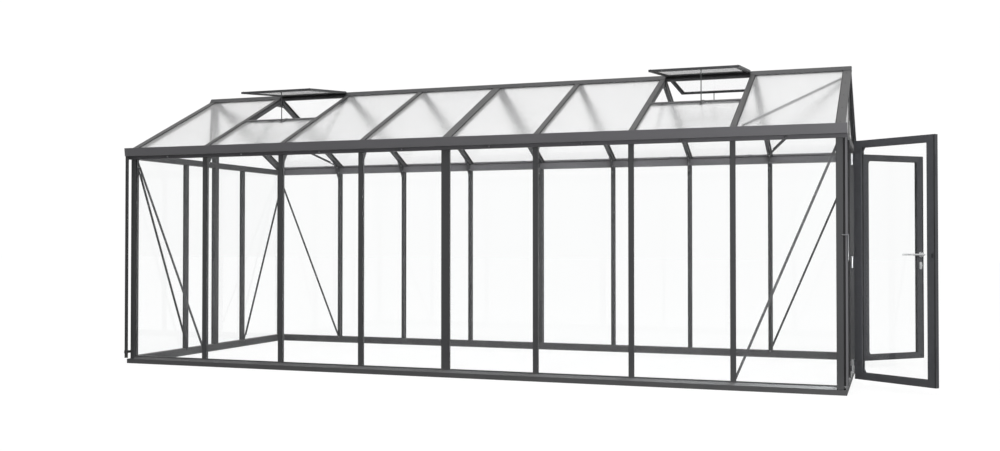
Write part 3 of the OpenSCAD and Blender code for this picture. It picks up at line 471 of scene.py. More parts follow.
def wall_glass_finish():
    finish, tree, shader, output = new_finish("wall_glass")
    film = noise(tree, object_place(tree), 2.2, 4.0)
    feed(tree, shader, {
        "Base Color": (0.985, 0.988, 0.988, 1.0), "Roughness": spread(tree, film, 0.0, 0.025),
        "Transmission Weight": 1.0, "IOR": 1.25})
    let_light_through(tree, shader, output, (0.96, 0.97, 0.97, 1.0))
    return finish


RIB_SPACING, RIB_FROM, RIB_DEPTH = 0.011, 0.86, 0.0003
MILK_TONE, RIB_TONE = (0.98, 0.981, 0.983, 1.0), (0.91, 0.912, 0.915, 1.0)


def sheet_finish(name, blur_low, blur_high, ior, ribbed):
    finish, tree, shader, output = new_finish(name)
    where = object_place(tree)
    step = calc(tree, "DIVIDE", axis_of(tree, where, "X"), RIB_SPACING)
    rib = spread(tree, calc(tree, "PINGPONG", step, 1.0), 0.0, 1.0, RIB_FROM)
    dirt = use_group(tree, dust, amount=0.1)["Mask"]
    feed(tree, shader, {
        "Base Color": blend(tree, dirt, blend(tree, rib, MILK_TONE, RIB_TONE), DUST_TONE),
        "Roughness": spread(tree, noise(tree, where, 2.5, 5.0), blur_low, blur_high),
        "Normal": relief(tree, rib, ribbed, RIB_DEPTH), "Transmission Weight": 0.97, "IOR": ior})
    let_light_through(tree, shader, output, (0.78, 0.79, 0.8, 1.0))
    return finish


wall_glass = wall_glass_finish()
roof_sheet = sheet_finish("roof_sheet", 0.13, 0.18, 1.25, 0.1)
vent_sheet = sheet_finish("vent_sheet", 0.0, 0.02, 1.03, 0.0)
print("see-through finishes:", wall_glass.name, roof_sheet.name, vent_sheet.name)

# %% [markdown]
# ## Dressing the CAD nodes
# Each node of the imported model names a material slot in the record. The loop below gives every node the
# finish of its slot. A few nodes get a finish of their own, such as the gutters, the sills, the hinges and
# the lever.

# %% Finishes on the CAD nodes
SILLS = tuple(side + "_sill" for side in ("front", "rear", "left", "right"))
SLOT_FINISH = {"frame_coating": frame_coat, "door_coating": door_painted_light_coat, "bare_steel": steel,
               "wall_glass": wall_glass, "roof_sheet": roof_sheet}
OWN_FINISH = ((gutter_painted_light_coat, ("front_gutter", "rear_gutter")),
              (pipe_coat, ("downpipes", "downpipe_clips")),
              (sill_coat, SILLS),
              (vent_sheet, ("vent_sheets",)),
              (dull_steel, ("door_holders",)),
              (satin_nickel, ("door_lever", "rear_leaf_lock")),
              (hinge_metal, ("hinge_pins", "front_leaf_hinges", "rear_leaf_hinges")))
NODE_FINISH = {name: finish for finish, names in OWN_FINISH for name in names}
for part in frame["record"]["subparts"]:
    node = frame["nodes"][part["node"]]
    node.data.materials.clear()
    node.data.materials.append(NODE_FINISH.get(part["node"], SLOT_FINISH[part["material_slot"]]))

# %% [markdown]
# ## Seals
# Every pane is bedded in rubber. From outside, a thin black bead shows along the caps, and from inside
# along the bars. A bead follows a path, so the path is drawn as loose edges, and a Geometry Nodes tree
# sweeps a small circle along it.

# %% The bead tree
bead_tree, bead_in = geometry_tree("Bead along a path",
                                   {"Radius": "Float", "Sides": "Int", "Finish": "Material"})
path = add(bead_tree, "GeometryNodeMeshToCurve", {"Mesh": bead_in["Geometry"]})
ring = add(bead_tree, "GeometryNodeCurvePrimitiveCircle", {"Resolution": bead_in["Sides"],
                                                           "Radius": bead_in["Radius"]})
sweep = add(bead_tree, "GeometryNodeCurveToMesh", {"Curve": path.outputs[0], "Profile Curve": ring.outputs[0],
                                                   "Fill Caps": True})
close_tree(bead_tree, sweep.outputs[0], bead_in["Finish"], True)


def path_mesh(name, runs):
    """Runs are (points, closed) pairs, and become loose edges."""
    points, edges = [], []
    for line, closed in runs:
        first = len(points)
        points += [tuple(p) for p in line]
        edges += [(first + k, first + k + 1) for k in range(len(line) - 1)]
        if closed:
            edges.append((len(points) - 1, first))
    mesh = bpy.data.meshes.new(name)
    mesh.from_pydata(points, edges, [])
    return mesh


def beads(name, runs, radius, finish, body, sides=8):
    values = {"Radius": radius, "Sides": sides, "Finish": finish}
    return grow(name, path_mesh(name, runs), bead_tree, values, body)


print("tree:", bead_tree.name)

# %% Outlines of the wall panes
SEAL_R = 0.0011
TIE_Z, TIE_TOP = 1.781, 1.833
HEAD_Z, HEAD_TOP = 1.806, 1.850
GABLE_POST = HALF_W - PITCH
JAMB_Y, JAMB_W = 0.675, 0.054
JAMB_EDGE = JAMB_Y + JAMB_W
OVER_HEAD_EDGE = 1.15


def edge_of(i, cap):
    if i in (0, BAYS):
        return BODY_D
    if i == MIDDLE:
        return DOUBLE_CAP_HALF if cap else DOUBLE_BODY_HALF
    return CAP_HALF if cap else BODY_HALF


def pane_bead(place, corners, cap):
    """One closed bead round a pane, on the outside of the glass or on the inside."""
    out = GLASS_OUT + SEAL_R if cap else GLASS_IN - SEAL_R
    middle = Vector((sum(c[0] for c in corners), sum(c[1] for c in corners))) / len(corners)
    inset = []
    for corner in corners:
        away = Vector(corner) - middle
        inset.append(Vector(corner) - Vector((math.copysign(SEAL_R, away.x), math.copysign(SEAL_R, away.y))))
    return [place(c.x, out, c.y) for c in inset], True


def upright_pane(s0, s1, z1):
    return [(s0, SILL_H), (s1, SILL_H), (s1, z1), (s0, z1)]


def top_pane(s0, s1, z0):
    return [(s0, z0), (s1, z0), (s1, roof_z(abs(s1), -BODY_D)), (s0, roof_z(abs(s0), -BODY_D))]


print("gable posts at", round(GABLE_POST, 3), "m from the middle")

# %% Seals of the wall panes
wall_runs = []
for cap in (True, False):
    for place in LONG_WALLS.values():
        for i in range(BAYS):
            s0, s1 = bar_x(i) + edge_of(i, cap), bar_x(i + 1) - edge_of(i + 1, cap)
            wall_runs.append(pane_bead(place, upright_pane(s0, s1, EAVE_Z), cap))
    king = DOUBLE_CAP_HALF if cap else DOUBLE_BODY_HALF
    post = CAP_HALF if cap else BODY_HALF
    corner = HALF_W - BODY_D
    for side in (-1, 1):
        for s0, s1 in ((king, GABLE_POST - post), (GABLE_POST + post, corner)):
            wall_runs.append(pane_bead(left_gable, upright_pane(side * s0, side * s1, TIE_Z), cap))
        beside_door = upright_pane(side * JAMB_EDGE, side * corner, HEAD_Z)
        wall_runs.append(pane_bead(right_gable, beside_door, cap))
        for place, z0, s1 in ((left_gable, TIE_TOP, corner), (right_gable, HEAD_TOP, OVER_HEAD_EDGE)):
            wall_runs.append(pane_bead(place, top_pane(side * king, side * s1, z0), cap))
beads("wall_seals", wall_runs, SEAL_R, seal_rubber, "frame")

# %% Seals of the roof sheets
LIP_R, LIP_SINK = 0.003, 0.0027
RIDGE_S = (HALF_W - WING_Y) / math.cos(SLOPE)
HEAD_INSET, INNER_FOOT_S = 0.022, 0.05
INNER_HEAD_S = (HALF_W - HEAD_INSET) / math.cos(SLOPE)
FOOT_S = FOOT_OVER / math.cos(SLOPE)
CROSS_SHARE, CROSS_HALF = 0.505, 0.027
CROSS_S = CROSS_SHARE * SLOPE_LEN
VENT_SHEET_HALF = 0.005
roof_runs = []
for side, place in SLOPES.items():
    for i in range(BAYS):
        vented = i in VENT_BAYS[side]
        for cap, r, s0, s1 in ((True, SHEET_TOP + LIP_R - LIP_SINK, -FOOT_S, RIDGE_S),
                               (False, LIP_SINK - LIP_R, INNER_FOOT_S, INNER_HEAD_S)):
            s1 = CROSS_S - CROSS_HALF if vented else s1
            for x in (bar_x(i) + edge_of(i, cap) + LIP_R, bar_x(i + 1) - edge_of(i + 1, cap) - LIP_R):
                roof_runs.append(([place(x, s0, r), place(x, s1, r)], False))
vent_x, vent_d0 = VENT_W / 2 - VENT_RAIL - LIP_R, VENT_RAIL + LIP_R
vent_d1 = VENT_LEN - vent_d0
for place in VENTS:
    for way in (1, -1):
        corners = ((-vent_x, vent_d0), (vent_x, vent_d0), (vent_x, vent_d1), (-vent_x, vent_d1))
        roof_runs.append(([place(s, d, way * (VENT_SHEET_HALF + LIP_R)) for s, d in corners], True))
beads("roof_seals", roof_runs, LIP_R, seal_rubber, "frame")

# %% Seals of the door panes
DOOR_GLASS_HALF = 0.002
LEAF_BEAD = 0.0022
x0, x1 = STILE + LEAF_BEAD, LEAF_W - STILE - LEAF_BEAD
z0, z1 = LEAF_FOOT + RAIL + LEAF_BEAD, LEAF_TOP - RAIL - LEAF_BEAD
for body, place in LEAVES.items():
    loops = []
    for way in (-1, 1):
        y = LEAF_T / 2 + way * (DOOR_GLASS_HALF + LEAF_BEAD)
        loops.append(([place(x, y, z) for x, z in ((x0, z0), (x1, z0), (x1, z1), (x0, z1))], True))
    beads(body + "_seals", loops, LEAF_BEAD, seal_rubber, body)

# %% Seals on the free edges of the leaves
EDGE_SEAL_R, EDGE_SEAL_IN, EDGE_SEAL_END = 0.004, 0.005, 0.004
edge_zs = (LEAF_FOOT + EDGE_SEAL_END, LEAF_TOP - EDGE_SEAL_END)
for body, place in LEAVES.items():
    edge_runs = [([place(LEAF_W - EDGE_SEAL_IN, y, z) for z in edge_zs], False) for y in (0.0, LEAF_T)]
    beads(body + "_edge_seals", edge_runs, EDGE_SEAL_R, seal_rubber, body)

# %% [markdown]
# ## Bolts
# The gussets, the apex plates and the braces are bolted to the bars with hex heads on washers. Bolts, screws
# and rubber buffers are one tree: a point with a direction becomes a washer and a head. The number of sides
# and the size of the top make it a hex head, a round screw or a buffer.

# %% The fastener tree
stud_tree, stud_in = geometry_tree("Fastener heads", {
    "Sides": "Int", "Head radius": "Float", "Head height": "Float", "Top radius": "Float",
    "Washer radius": "Float", "Washer height": "Float", "Finish": "Material"})


def shifted(tree, mesh, **steps):
    """Moves a mesh by steps that are sockets or plain lengths."""
    step = add(tree, "ShaderNodeCombineXYZ", steps).outputs[0]
    return add(tree, "GeometryNodeTransform", {"Geometry": mesh, "Translation": step}).outputs[0]


washer_h = stud_in["Washer height"]
washer = add(stud_tree, "GeometryNodeMeshCylinder", {
    "Vertices": 16, "Radius": stud_in["Washer radius"], "Depth": washer_h})
head = add(stud_tree, "GeometryNodeMeshCone", {
    "Vertices": stud_in["Sides"], "Radius Bottom": stud_in["Head radius"],
    "Radius Top": stud_in["Top radius"], "Depth": stud_in["Head height"]})
both = add(stud_tree, "GeometryNodeJoinGeometry")
for mesh, up in ((washer, calc(stud_tree, "MULTIPLY", washer_h, 0.5)), (head, washer_h)):
    feed(stud_tree, both, {0: shifted(stud_tree, mesh.outputs["Mesh"], Z=up)})
outward = add(stud_tree, "GeometryNodeInputNamedAttribute", {"Name": "outward"}, data_type="FLOAT_VECTOR")
aim = add(stud_tree, "FunctionNodeAlignRotationToVector", {"Vector": outward.outputs[0]}, axis="Z")
copies = add(stud_tree, "GeometryNodeInstanceOnPoints", {
    "Points": stud_in["Geometry"], "Instance": both.outputs[0], "Rotation": aim.outputs[0]})
close_tree(stud_tree, copies.outputs[0], stud_in["Finish"], False)
print("tree:", stud_tree.name)

# %% Helpers for fasteners
# Sides, head radius and height, top radius, washer radius and height
HEX_BOLT = (6, 0.0075, 0.0052, 0.0068, 0.0098, 0.0014)
PAN_SCREW = (12, 0.0042, 0.0022, 0.0024, 0.0048, 0.0008)
BUFFER = (16, 0.009, 0.007, 0.0065, 0.010, 0.002)
STUD_SIZES = ("Sides", "Head radius", "Head height", "Top radius", "Washer radius", "Washer height")


def stud(place, at, step):
    return place(*at), toward(place, at, step)


def fasten(name, studs, sizes, finish, body):
    """Studs are (point, direction) pairs."""
    mesh = bpy.data.meshes.new(name)
    mesh.from_pydata([tuple(p) for p, _ in studs], [], [])
    vectors = mesh.attributes.new("outward", "FLOAT_VECTOR", "POINT")
    vectors.data.foreach_set("vector", [c for _, d in studs for c in d])
    return grow(name, mesh, stud_tree, dict(zip(STUD_SIZES, sizes), Finish=finish), body)


print("kinds of fastener: 3")

# %% Bolts of gussets and apex plates
PLATE_HALF = 0.002
INNER_FACE = HALF_W - BODY_D - SEAT_GAP
UNDER_BAR = -BODY_D - SEAT_GAP
POST_BOLT_IN, POST_BOLT_ZS = 0.017, (EAVE_Z - 0.045, EAVE_Z + 0.008)
BAR_BOLT_INS, BAR_BOLT_DROP = (0.055, 0.105), 0.020
APEX_HALF, APEX_BOLT_Y, APEX_BOLT_UP, APEX_BOLT_DROP = 0.084, 0.034, 0.012, 0.022
APEX_FOOT = roof_z(APEX_HALF, UNDER_BAR)
gusset_spots = [(INNER_FACE - POST_BOLT_IN, z) for z in POST_BOLT_ZS]
gusset_spots += [(INNER_FACE - d, roof_z(INNER_FACE - d, UNDER_BAR) - BAR_BOLT_DROP) for d in BAR_BOLT_INS]
apex_spots = [(y, APEX_FOOT + APEX_BOLT_UP) for y in (-APEX_BOLT_Y, APEX_BOLT_Y)]
apex_spots.append((0.0, RIDGE_FOOT - APEX_BOLT_DROP))
plate_spots = [(turned * y, z) for turned in (-1, 1) for y, z in gusset_spots] + apex_spots
bolts = [stud(in_house, (bar_x(i) + way * PLATE_HALF, y, z), (way, 0, 0))
         for i in range(1, BAYS) for y, z in plate_spots for way in (-1, 1)]
print("bolts through plates:", len(bolts))

# %% Bolts of the braces
BRACE_T, BRACE_W = 0.003, 0.018
BRACE_FACE = UNDER_BAR - BRACE_T
BRACE_HEAD, BRACE_FOOT, BRACE_STEP = EAVE_Z - 0.013, 0.056, 0.056
ROOF_BRACE_END = 0.092
wall_braces, roof_braces = [], []
for turned in (-1, 1):
    for place in LONG_WALLS.values():
        wall_braces.append((place, (turned * (HALF_L - BODY_D + BRACE_W), BRACE_FACE, BRACE_HEAD),
                            (turned * bar_x(BAYS - 1), BRACE_FACE, BRACE_FOOT)))
    gable_head = (turned * (HALF_W - BODY_D + BRACE_W), BRACE_FACE, BRACE_HEAD - BRACE_STEP)
    wall_braces.append((left_gable, gable_head, (turned * GABLE_POST, BRACE_FACE, BRACE_FOOT)))
    for place in SLOPES.values():
        roof_braces.append((place, (turned * (HALF_L - BODY_D / 2), SLOPE_LEN - ROOF_BRACE_END, BRACE_FACE),
                            (turned * (bar_x(BAYS - 1) + BODY_HALF), ROOF_BRACE_END, BRACE_FACE)))
for braces, inward in ((wall_braces, (0, -1, 0)), (roof_braces, (0, 0, -1))):
    bolts += [stud(place, end, inward) for place, high, low in braces for end in (high, low)]
fasten("frame_bolts", bolts, HEX_BOLT, dull_steel, "frame")

# %% [markdown]
# ## Ribs on the wall braces
# A flat brace would look like a paper strip from the side. The real one is rolled with a round rib along
# its middle, which keeps it straight. The rib is a bead again, between the two bolts.

# %% Ribs along the wall braces
BRACE_RIB_R, BRACE_RIB_INSET = 0.006, 0.06
rib_runs = []
for place, high, low in wall_braces:
    along = (Vector(low) - Vector(high)).normalized() * BRACE_RIB_INSET
    inward = Vector((0.0, -BRACE_RIB_R, 0.0))
    ends = (Vector(high) + along + inward, Vector(low) - along + inward)
    rib_runs.append(([place(*end) for end in ends], False))
beads("brace_ribs", rib_runs, BRACE_RIB_R, frame_coat, "frame", sides=10)

# %% [markdown]
# ## Screws
# The caps, the vents, the hinges, the holders and the roses take low round screws. They stand in rows, so
# loops place them, and the fastener tree makes them with twelve sides.

# %% Screws along the caps
SCREW_INSET = 0.03
WALL_SCREWS = (SILL_H + SCREW_INSET, 0.49, 0.92, 1.35, EAVE_Z - SCREW_INSET)
ROOF_SCREWS = (0.06, 0.36, 0.66, 0.96, 1.22)
RAKE_SCREW_IN = 0.007
screws = []
for i in range(1, BAYS):
    for place in LONG_WALLS.values():
        screws += [stud(place, (bar_x(i), CAP_OUT, z), (0, 1, 0)) for z in WALL_SCREWS]
    for place in SLOPES.values():
        screws += [stud(place, (bar_x(i), s, ROOF_CAP_TOP), (0, 0, 1)) for s in ROOF_SCREWS]
for s in (-GABLE_POST, 0.0, GABLE_POST):
    screws += [stud(left_gable, (s, CAP_OUT, z), (0, 1, 0)) for z in WALL_SCREWS[:-1]]
for way in (-1, 1):
    for place in SLOPES.values():
        rake_x = way * (HALF_L - RAKE_SCREW_IN)
        screws += [stud(place, (rake_x, s, ROOF_CAP_TOP), (0, 0, 1)) for s in ROOF_SCREWS]
fasten("cap_screws", screws, PAN_SCREW, frame_coat, "frame")

# %% Screws of the vents
VENT_SCREW_X = VENT_W / 2 - VENT_RAIL / 2
VENT_SCREW_DS = (VENT_RAIL / 2, VENT_LEN / 2, VENT_LEN - VENT_RAIL / 2)
vent_studs = [stud(place, (way * VENT_SCREW_X, d, VENT_T / 2), (0, 0, 1))
              for place in VENTS for way in (-1, 1) for d in VENT_SCREW_DS]
fasten("vent_screws", vent_studs, PAN_SCREW, frame_coat, "frame")

# %% Screws of hinges, holders and roses
HINGE_ZS, HINGE_SCREW_STEPS = (0.149, 0.9085, 1.668), (0.012, 0.030)
LEAF_IN, HINGE_PLATE_TOP = 0.005, 0.0043
JAMB_SCREW_Y, LEAF_SCREW_X = 0.701, 0.029
HOLDER_Y, HOLDER_SCREW_Y, HOLDER_SCREW_ZS = HALF_W - 0.011, 0.009, (0.948, 1.088)
ROSE_SCREW_ZS = (LEVER_Z - 0.0165, LEVER_Z + 0.0165)
jamb_out, leaf_out = LEAF_T - LEAF_IN + HINGE_PLATE_TOP, LEAF_T + HINGE_PLATE_TOP
jamb_studs = [stud(right_gable, (side * JAMB_SCREW_Y, jamb_out, z - d), (0, 1, 0))
              for side in (-1, 1) for z in HINGE_ZS for d in HINGE_SCREW_STEPS]
holder_out = CORNER_OUT + HINGE_PLATE_TOP
jamb_studs += [stud(right_gable, (side * HOLDER_Y + way * HOLDER_SCREW_Y, holder_out, z), (0, 1, 0))
               for side in (-1, 1) for way in (-1, 1) for z in HOLDER_SCREW_ZS]
fasten("jamb_screws", jamb_studs, PAN_SCREW, dull_steel, "frame")
for body, place in LEAVES.items():
    studs = [stud(place, (LEAF_SCREW_X, leaf_out, z + d), (0, 1, 0))
             for z in HINGE_ZS for d in HINGE_SCREW_STEPS]
    if body == "rear_leaf":
        for y, way in ((LEAF_T + ROSE_TOP, 1), (-ROSE_TOP, -1)):
            studs += [stud(place, (LEVER_X, y, z), (0, way, 0)) for z in ROSE_SCREW_ZS]
    fasten(body + "_screws", studs, PAN_SCREW, door_painted_light_coat, body)

# %% [markdown]
# ## Folded strips
# A folded strip closes the open lower edge of each roof sheet, and straps keep the gutter's front wall from
# spreading. The roof braces are folded into channels, a black flap under each vent's hinge is painted shade
# where the open vent shades the ridge, and halfway along each bay a small clip sits on the sloped nose of the
# eave beam. All of these are one shape in other sizes, a web with two flanges, so one tree makes them from
# points with a turn and a span.

# %% The folded strip tree
fold_tree, fold_in = geometry_tree("Folded strips", {"Web": "Float", "Flange": "Float", "Thickness": "Float",
                                                     "Finish": "Material"})


def slab(y_size, z_size, y_mid, z_mid):
    """A box one metre long in x, sized and placed by sockets."""
    size = add(fold_tree, "ShaderNodeCombineXYZ", {"X": 1.0, "Y": y_size, "Z": z_size})
    box = add(fold_tree, "GeometryNodeMeshCube", {"Size": size.outputs[0]})
    return shifted(fold_tree, box.outputs["Mesh"], Y=y_mid, Z=z_mid)


web, flange, thick = fold_in["Web"], fold_in["Flange"], fold_in["Thickness"]
half_flange, half_thick = (calc(fold_tree, "MULTIPLY", size, 0.5) for size in (flange, thick))
upper = calc(fold_tree, "SUBTRACT", calc(fold_tree, "MULTIPLY", web, 0.5), half_thick)
lower = calc(fold_tree, "MULTIPLY", upper, -1.0)
folds = add(fold_tree, "GeometryNodeJoinGeometry")
for part in (slab(thick, web, half_thick, 0.0), slab(flange, thick, half_flange, upper),
             slab(flange, thick, half_flange, lower)):
    feed(fold_tree, folds, {0: part})
turn = add(fold_tree, "GeometryNodeInputNamedAttribute", {"Name": "turn"}, data_type="FLOAT_VECTOR")
span = add(fold_tree, "GeometryNodeInputNamedAttribute", {"Name": "span"}, data_type="FLOAT")
stretch = add(fold_tree, "ShaderNodeCombineXYZ", {"X": span.outputs[0], "Y": 1.0, "Z": 1.0})
spin = add(fold_tree, "FunctionNodeEulerToRotation", {0: turn.outputs[0]})
copies = add(fold_tree, "GeometryNodeInstanceOnPoints", {
    "Points": fold_in["Geometry"], "Instance": folds.outputs[0], "Rotation": spin.outputs[0],
    "Scale": stretch.outputs[0]})
close_tree(fold_tree, copies.outputs[0], fold_in["Finish"], False)


def strips(name, rows, web_size, flange_size, sheet, finish, body):
    """Rows are (middle, turn, span)."""
    mesh = bpy.data.meshes.new(name)
    mesh.from_pydata([tuple(p) for p, _, _ in rows], [], [])
    turns = mesh.attributes.new("turn", "FLOAT_VECTOR", "POINT")
    turns.data.foreach_set("vector", [c for _, t, _ in rows for c in t])
    spans = mesh.attributes.new("span", "FLOAT", "POINT")
    spans.data.foreach_set("value", [s for _, _, s in rows])
    values = {"Web": web_size, "Flange": flange_size, "Thickness": sheet, "Finish": finish}
    return grow(name, mesh, fold_tree, values, body)


print("tree:", fold_tree.name)

# %% End strips of the roof sheets
STRIP_T, STRIP_WEB, STRIP_FLANGE, STRIP_MID = 0.0012, 0.0126, 0.016, 0.0053
SHEET_INSET = 0.007
SHEET_INSETS = {0: 0.021, MIDDLE: 0.020, BAYS: 0.021}
ABOUT = {"front": 0.0, "rear": math.pi}
strip_rows = []
for side, place in SLOPES.items():
    for i in range(BAYS):
        x0 = bar_x(i) + SHEET_INSETS.get(i, SHEET_INSET)
        x1 = bar_x(i + 1) - SHEET_INSETS.get(i + 1, SHEET_INSET)
        middle = place((x0 + x1) / 2, -FOOT_S - STRIP_T, STRIP_MID)
        strip_rows.append((middle, (SLOPE, 0.0, ABOUT[side]), x1 - x0))
strips("sheet_end_strips", strip_rows, STRIP_WEB, STRIP_FLANGE, STRIP_T, frame_coat, "frame")

# %% Straps of the gutters
STRAP_Z, STRAP_OUT, STRAP_LEN = 1.8755, 0.0455, 0.022
STRAP_WEB, STRAP_DROP, STRAP_T = 0.046, 0.012, 0.0018
HALF_TURNED = {"front": 1, "rear": -1}
lying_flat = (-math.pi / 2, 0.0, 0.0)
strap_rows = []
for side, place in LONG_WALLS.items():
    for i in range(BAYS):
        middle = place(HALF_TURNED[side] * (bar_x(i) + PITCH / 4), STRAP_OUT, STRAP_Z)
        strap_rows.append((middle, lying_flat, STRAP_LEN))
strips("gutter_straps", strap_rows, STRAP_WEB, STRAP_DROP, STRAP_T, gutter_painted_light_coat, "frame")

# %% Channels on the roof braces
CHANNEL_H, CHANNEL_W, CHANNEL_T, CHANNEL_INSET = 0.015, 0.010, 0.0025, 0.06
channel_rows = []
for place, high_end, low_end in roof_braces:
    high, low = place(*high_end), place(*low_end)
    along = (low - high).normalized()
    normal = toward(place, high_end, (0, 0, 1))
    turn = Matrix((along, normal.cross(along), normal)).transposed().to_euler()
    middle = (high + low) / 2 + normal * (CHANNEL_H / 2 + BRACE_T)
    channel_rows.append((middle, turn, (low - high).length - 2 * CHANNEL_INSET))
strips("roof_brace_channels", channel_rows, CHANNEL_H, CHANNEL_W, CHANNEL_T, frame_coat, "frame")

# %% Black flaps under the vent hinges, painted shade
FLAP_W, FLAP_AT, FLAP_OFF, FLAP_T = 0.024, 0.032, 0.003, 0.002
wing = Vector((WING_Y - RIDGE_FLAT, WING_Z - RIDGE_TOP)).normalized()
flap_y = RIDGE_FLAT + wing.x * FLAP_AT - wing.y * FLAP_OFF
flap_z = RIDGE_TOP + wing.y * FLAP_AT + wing.x * FLAP_OFF
flap_lean = -math.atan2(wing.x, -wing.y)
shade_flap_rows = []
for side, bays in VENT_BAYS.items():
    way = HALF_TURNED[side]
    for i in bays:
        middle = Vector((way * (bar_x(i) + PITCH / 2), -way * flap_y, flap_z))
        shade_flap_rows.append((middle, (flap_lean, 0.0, ABOUT[side]), VENT_W))
# The black flaps paint the shade that the open vents cast on the ridge.
strips("vent_painted_shade_flaps", shade_flap_rows, FLAP_W, FLAP_OFF, FLAP_T, seal_rubber, "frame")

# %% Clips on the eave nose
NOSE_OUT, NOSE_Z = 0.0195, 1.7948
NOSE_RUN = Vector((0.010, 0.025)).normalized()
CLIP_WEB, CLIP_LIP, CLIP_T, CLIP_LEN = 0.016, 0.005, 0.002, 0.020
CLIP_SCREW_OUT, CLIP_SCREW_DROP = 0.0021, 0.0008
nose_turn = math.atan2(NOSE_RUN.x, NOSE_RUN.y)
clip_rows, clip_studs = [], []
for side, place in LONG_WALLS.items():
    for i in range(BAYS):
        s = HALF_TURNED[side] * (bar_x(i) + PITCH / 2)
        clip_rows.append((place(s, NOSE_OUT + CLIP_T, NOSE_Z), (nose_turn, 0.0, ABOUT[side]), CLIP_LEN))
        on_clip = (s, NOSE_OUT + CLIP_SCREW_OUT, NOSE_Z - CLIP_SCREW_DROP)
        clip_studs.append(stud(place, on_clip, (0, NOSE_RUN.y, -NOSE_RUN.x)))
strips("eave_clips", clip_rows, CLIP_WEB, CLIP_LIP, CLIP_T, dull_steel, "frame")
fasten("eave_clip_screws", clip_studs, PAN_SCREW, steel, "frame")

# %% [markdown]
# ## Pipe rings
# Raised rings mark the collar of each downpipe and the lips of its clip. A ring is a closed path, so the
# bead tree makes it again with another radius.

# %% Rings on the downpipes
PIPE_X, PIPE_Y, PIPE_R = HALF_L + 0.030, HALF_W + 0.046, 0.014
RING_R, RING_POINTS, CLIP_RING_OUT = 0.0018, 28, 0.0032
CLIP_RINGS = (0.0905, 0.1095)
RING_ZS = (0.051, *CLIP_RINGS, 1.760, 1.775, 1.790, 1.802)
round_turns = [2 * math.pi * k / RING_POINTS for k in range(RING_POINTS)]
ring_runs = []
for side in (-1, 1):
    for z in RING_ZS:
        r = PIPE_R + (CLIP_RING_OUT if z in CLIP_RINGS else 0.0)
        ring_runs.append(([Vector((side * PIPE_X + r * math.cos(a), side * PIPE_Y + r * math.sin(a), z))
                           for a in round_turns], True))
beads("pipe_rings", ring_runs, RING_R, frame_coat, "frame")

# %% [markdown]
# ## Plates
# A few flat pieces close what extrusion leaves open or finish the lock: covers on the ends of the ridge, a
# keep with its catch and two bolt plates on the front leaf, and on the rear leaf a latch face, escutcheons
# and key barrels. Each is an outline that is extruded and gets bevelled edges, first in its own flat frame
# and then put in place.

# %% The plate helper
PLATE_BEVEL, BEVEL_STEPS, BEVEL_PROFILE = 0.0006, 2, 0.7


def plate(name, outlines, thickness, spots, finish, body, bevel=PLATE_BEVEL):
    """Each spot is a function of (u, v, w) that takes the plate's flat frame to the shared one."""
    whole = bmesh.new()
    for outline, spot in zip(outlines, spots):
        part = bmesh.new()
        face = part.faces.new([part.verts.new((u, v, 0.0)) for u, v in outline])
        lifted = bmesh.ops.extrude_face_region(part, geom=[face])["geom"]
        for v in lifted:
            if isinstance(v, bmesh.types.BMVert):
                v.co.z = thickness
        bmesh.ops.recalc_face_normals(part, faces=part.faces[:])
        bmesh.ops.bevel(part, geom=part.edges[:], offset=bevel, segments=BEVEL_STEPS, affect="EDGES",
                        profile=BEVEL_PROFILE)
        for v in part.verts:
            v.co = spot(*v.co)
        bmesh.ops.recalc_face_normals(part, faces=part.faces[:])
        scratch = bpy.data.meshes.new("scratch")
        part.to_mesh(scratch)
        part.free()
        whole.from_mesh(scratch)
        bpy.data.meshes.remove(scratch)
    mesh = bpy.data.meshes.new(name)
    whole.to_mesh(mesh)
    whole.free()
    mesh.materials.append(finish)
    return keep(name, mesh, body)


def rounded(w, h, r, steps=5):
    """A rectangle with round corners, which are quarter turns about four centres."""
    x, y = w / 2 - r, h / 2 - r
    centres = ((x, y, 0), (-x, y, 1), (-x, -y, 2), (x, -y, 3))
    turns = [(cx, cy, math.pi / 2 * (q + k / steps)) for cx, cy, q in centres for k in range(steps + 1)]
    return [(cx + r * math.cos(a), cy + r * math.sin(a)) for cx, cy, a in turns]


def on_face(place, x, y, z, way=1):
    """A spot on a leaf's outer face, or on its inner face where way is -1."""
    return lambda u, v, w: place(x + u, y + way * w, z + v)


def on_edge(place, z, out=0.0):
    """A spot on a leaf's free edge."""
    return lambda u, v, w: place(LEAF_W + out + w, LEAF_T / 2 + u, z + v)


print("plates have bevelled edges")

# %% Covers on the ends of the ridge
RIDGE_END, RIDGE_COVER_T = HALF_L + RAKE_OUT, 0.0025
COVER_SCREW_ZS = (RIDGE_FOOT + 0.014, RIDGE_TOP - 0.012)
cover = [(-WING_Y, WING_Z), (-RIDGE_HALF, WING_Z), (-RIDGE_HALF, RIDGE_FOOT), (RIDGE_HALF, RIDGE_FOOT),
         (RIDGE_HALF, WING_Z), (WING_Y, WING_Z), (RIDGE_FLAT, RIDGE_TOP), (-RIDGE_FLAT, RIDGE_TOP)]
plate("ridge_end_covers", [cover, cover], RIDGE_COVER_T,
      [lambda u, v, w: Vector((RIDGE_END + w, u, v)), lambda u, v, w: Vector((-RIDGE_END - w, u, v))],
      frame_coat, "frame")
cover_studs = [stud(in_house, (way * (RIDGE_END + RIDGE_COVER_T), 0.0, z), (way, 0, 0))
               for way in (-1, 1) for z in COVER_SCREW_ZS]
fasten("ridge_cover_screws", cover_studs, PAN_SCREW, steel, "frame")

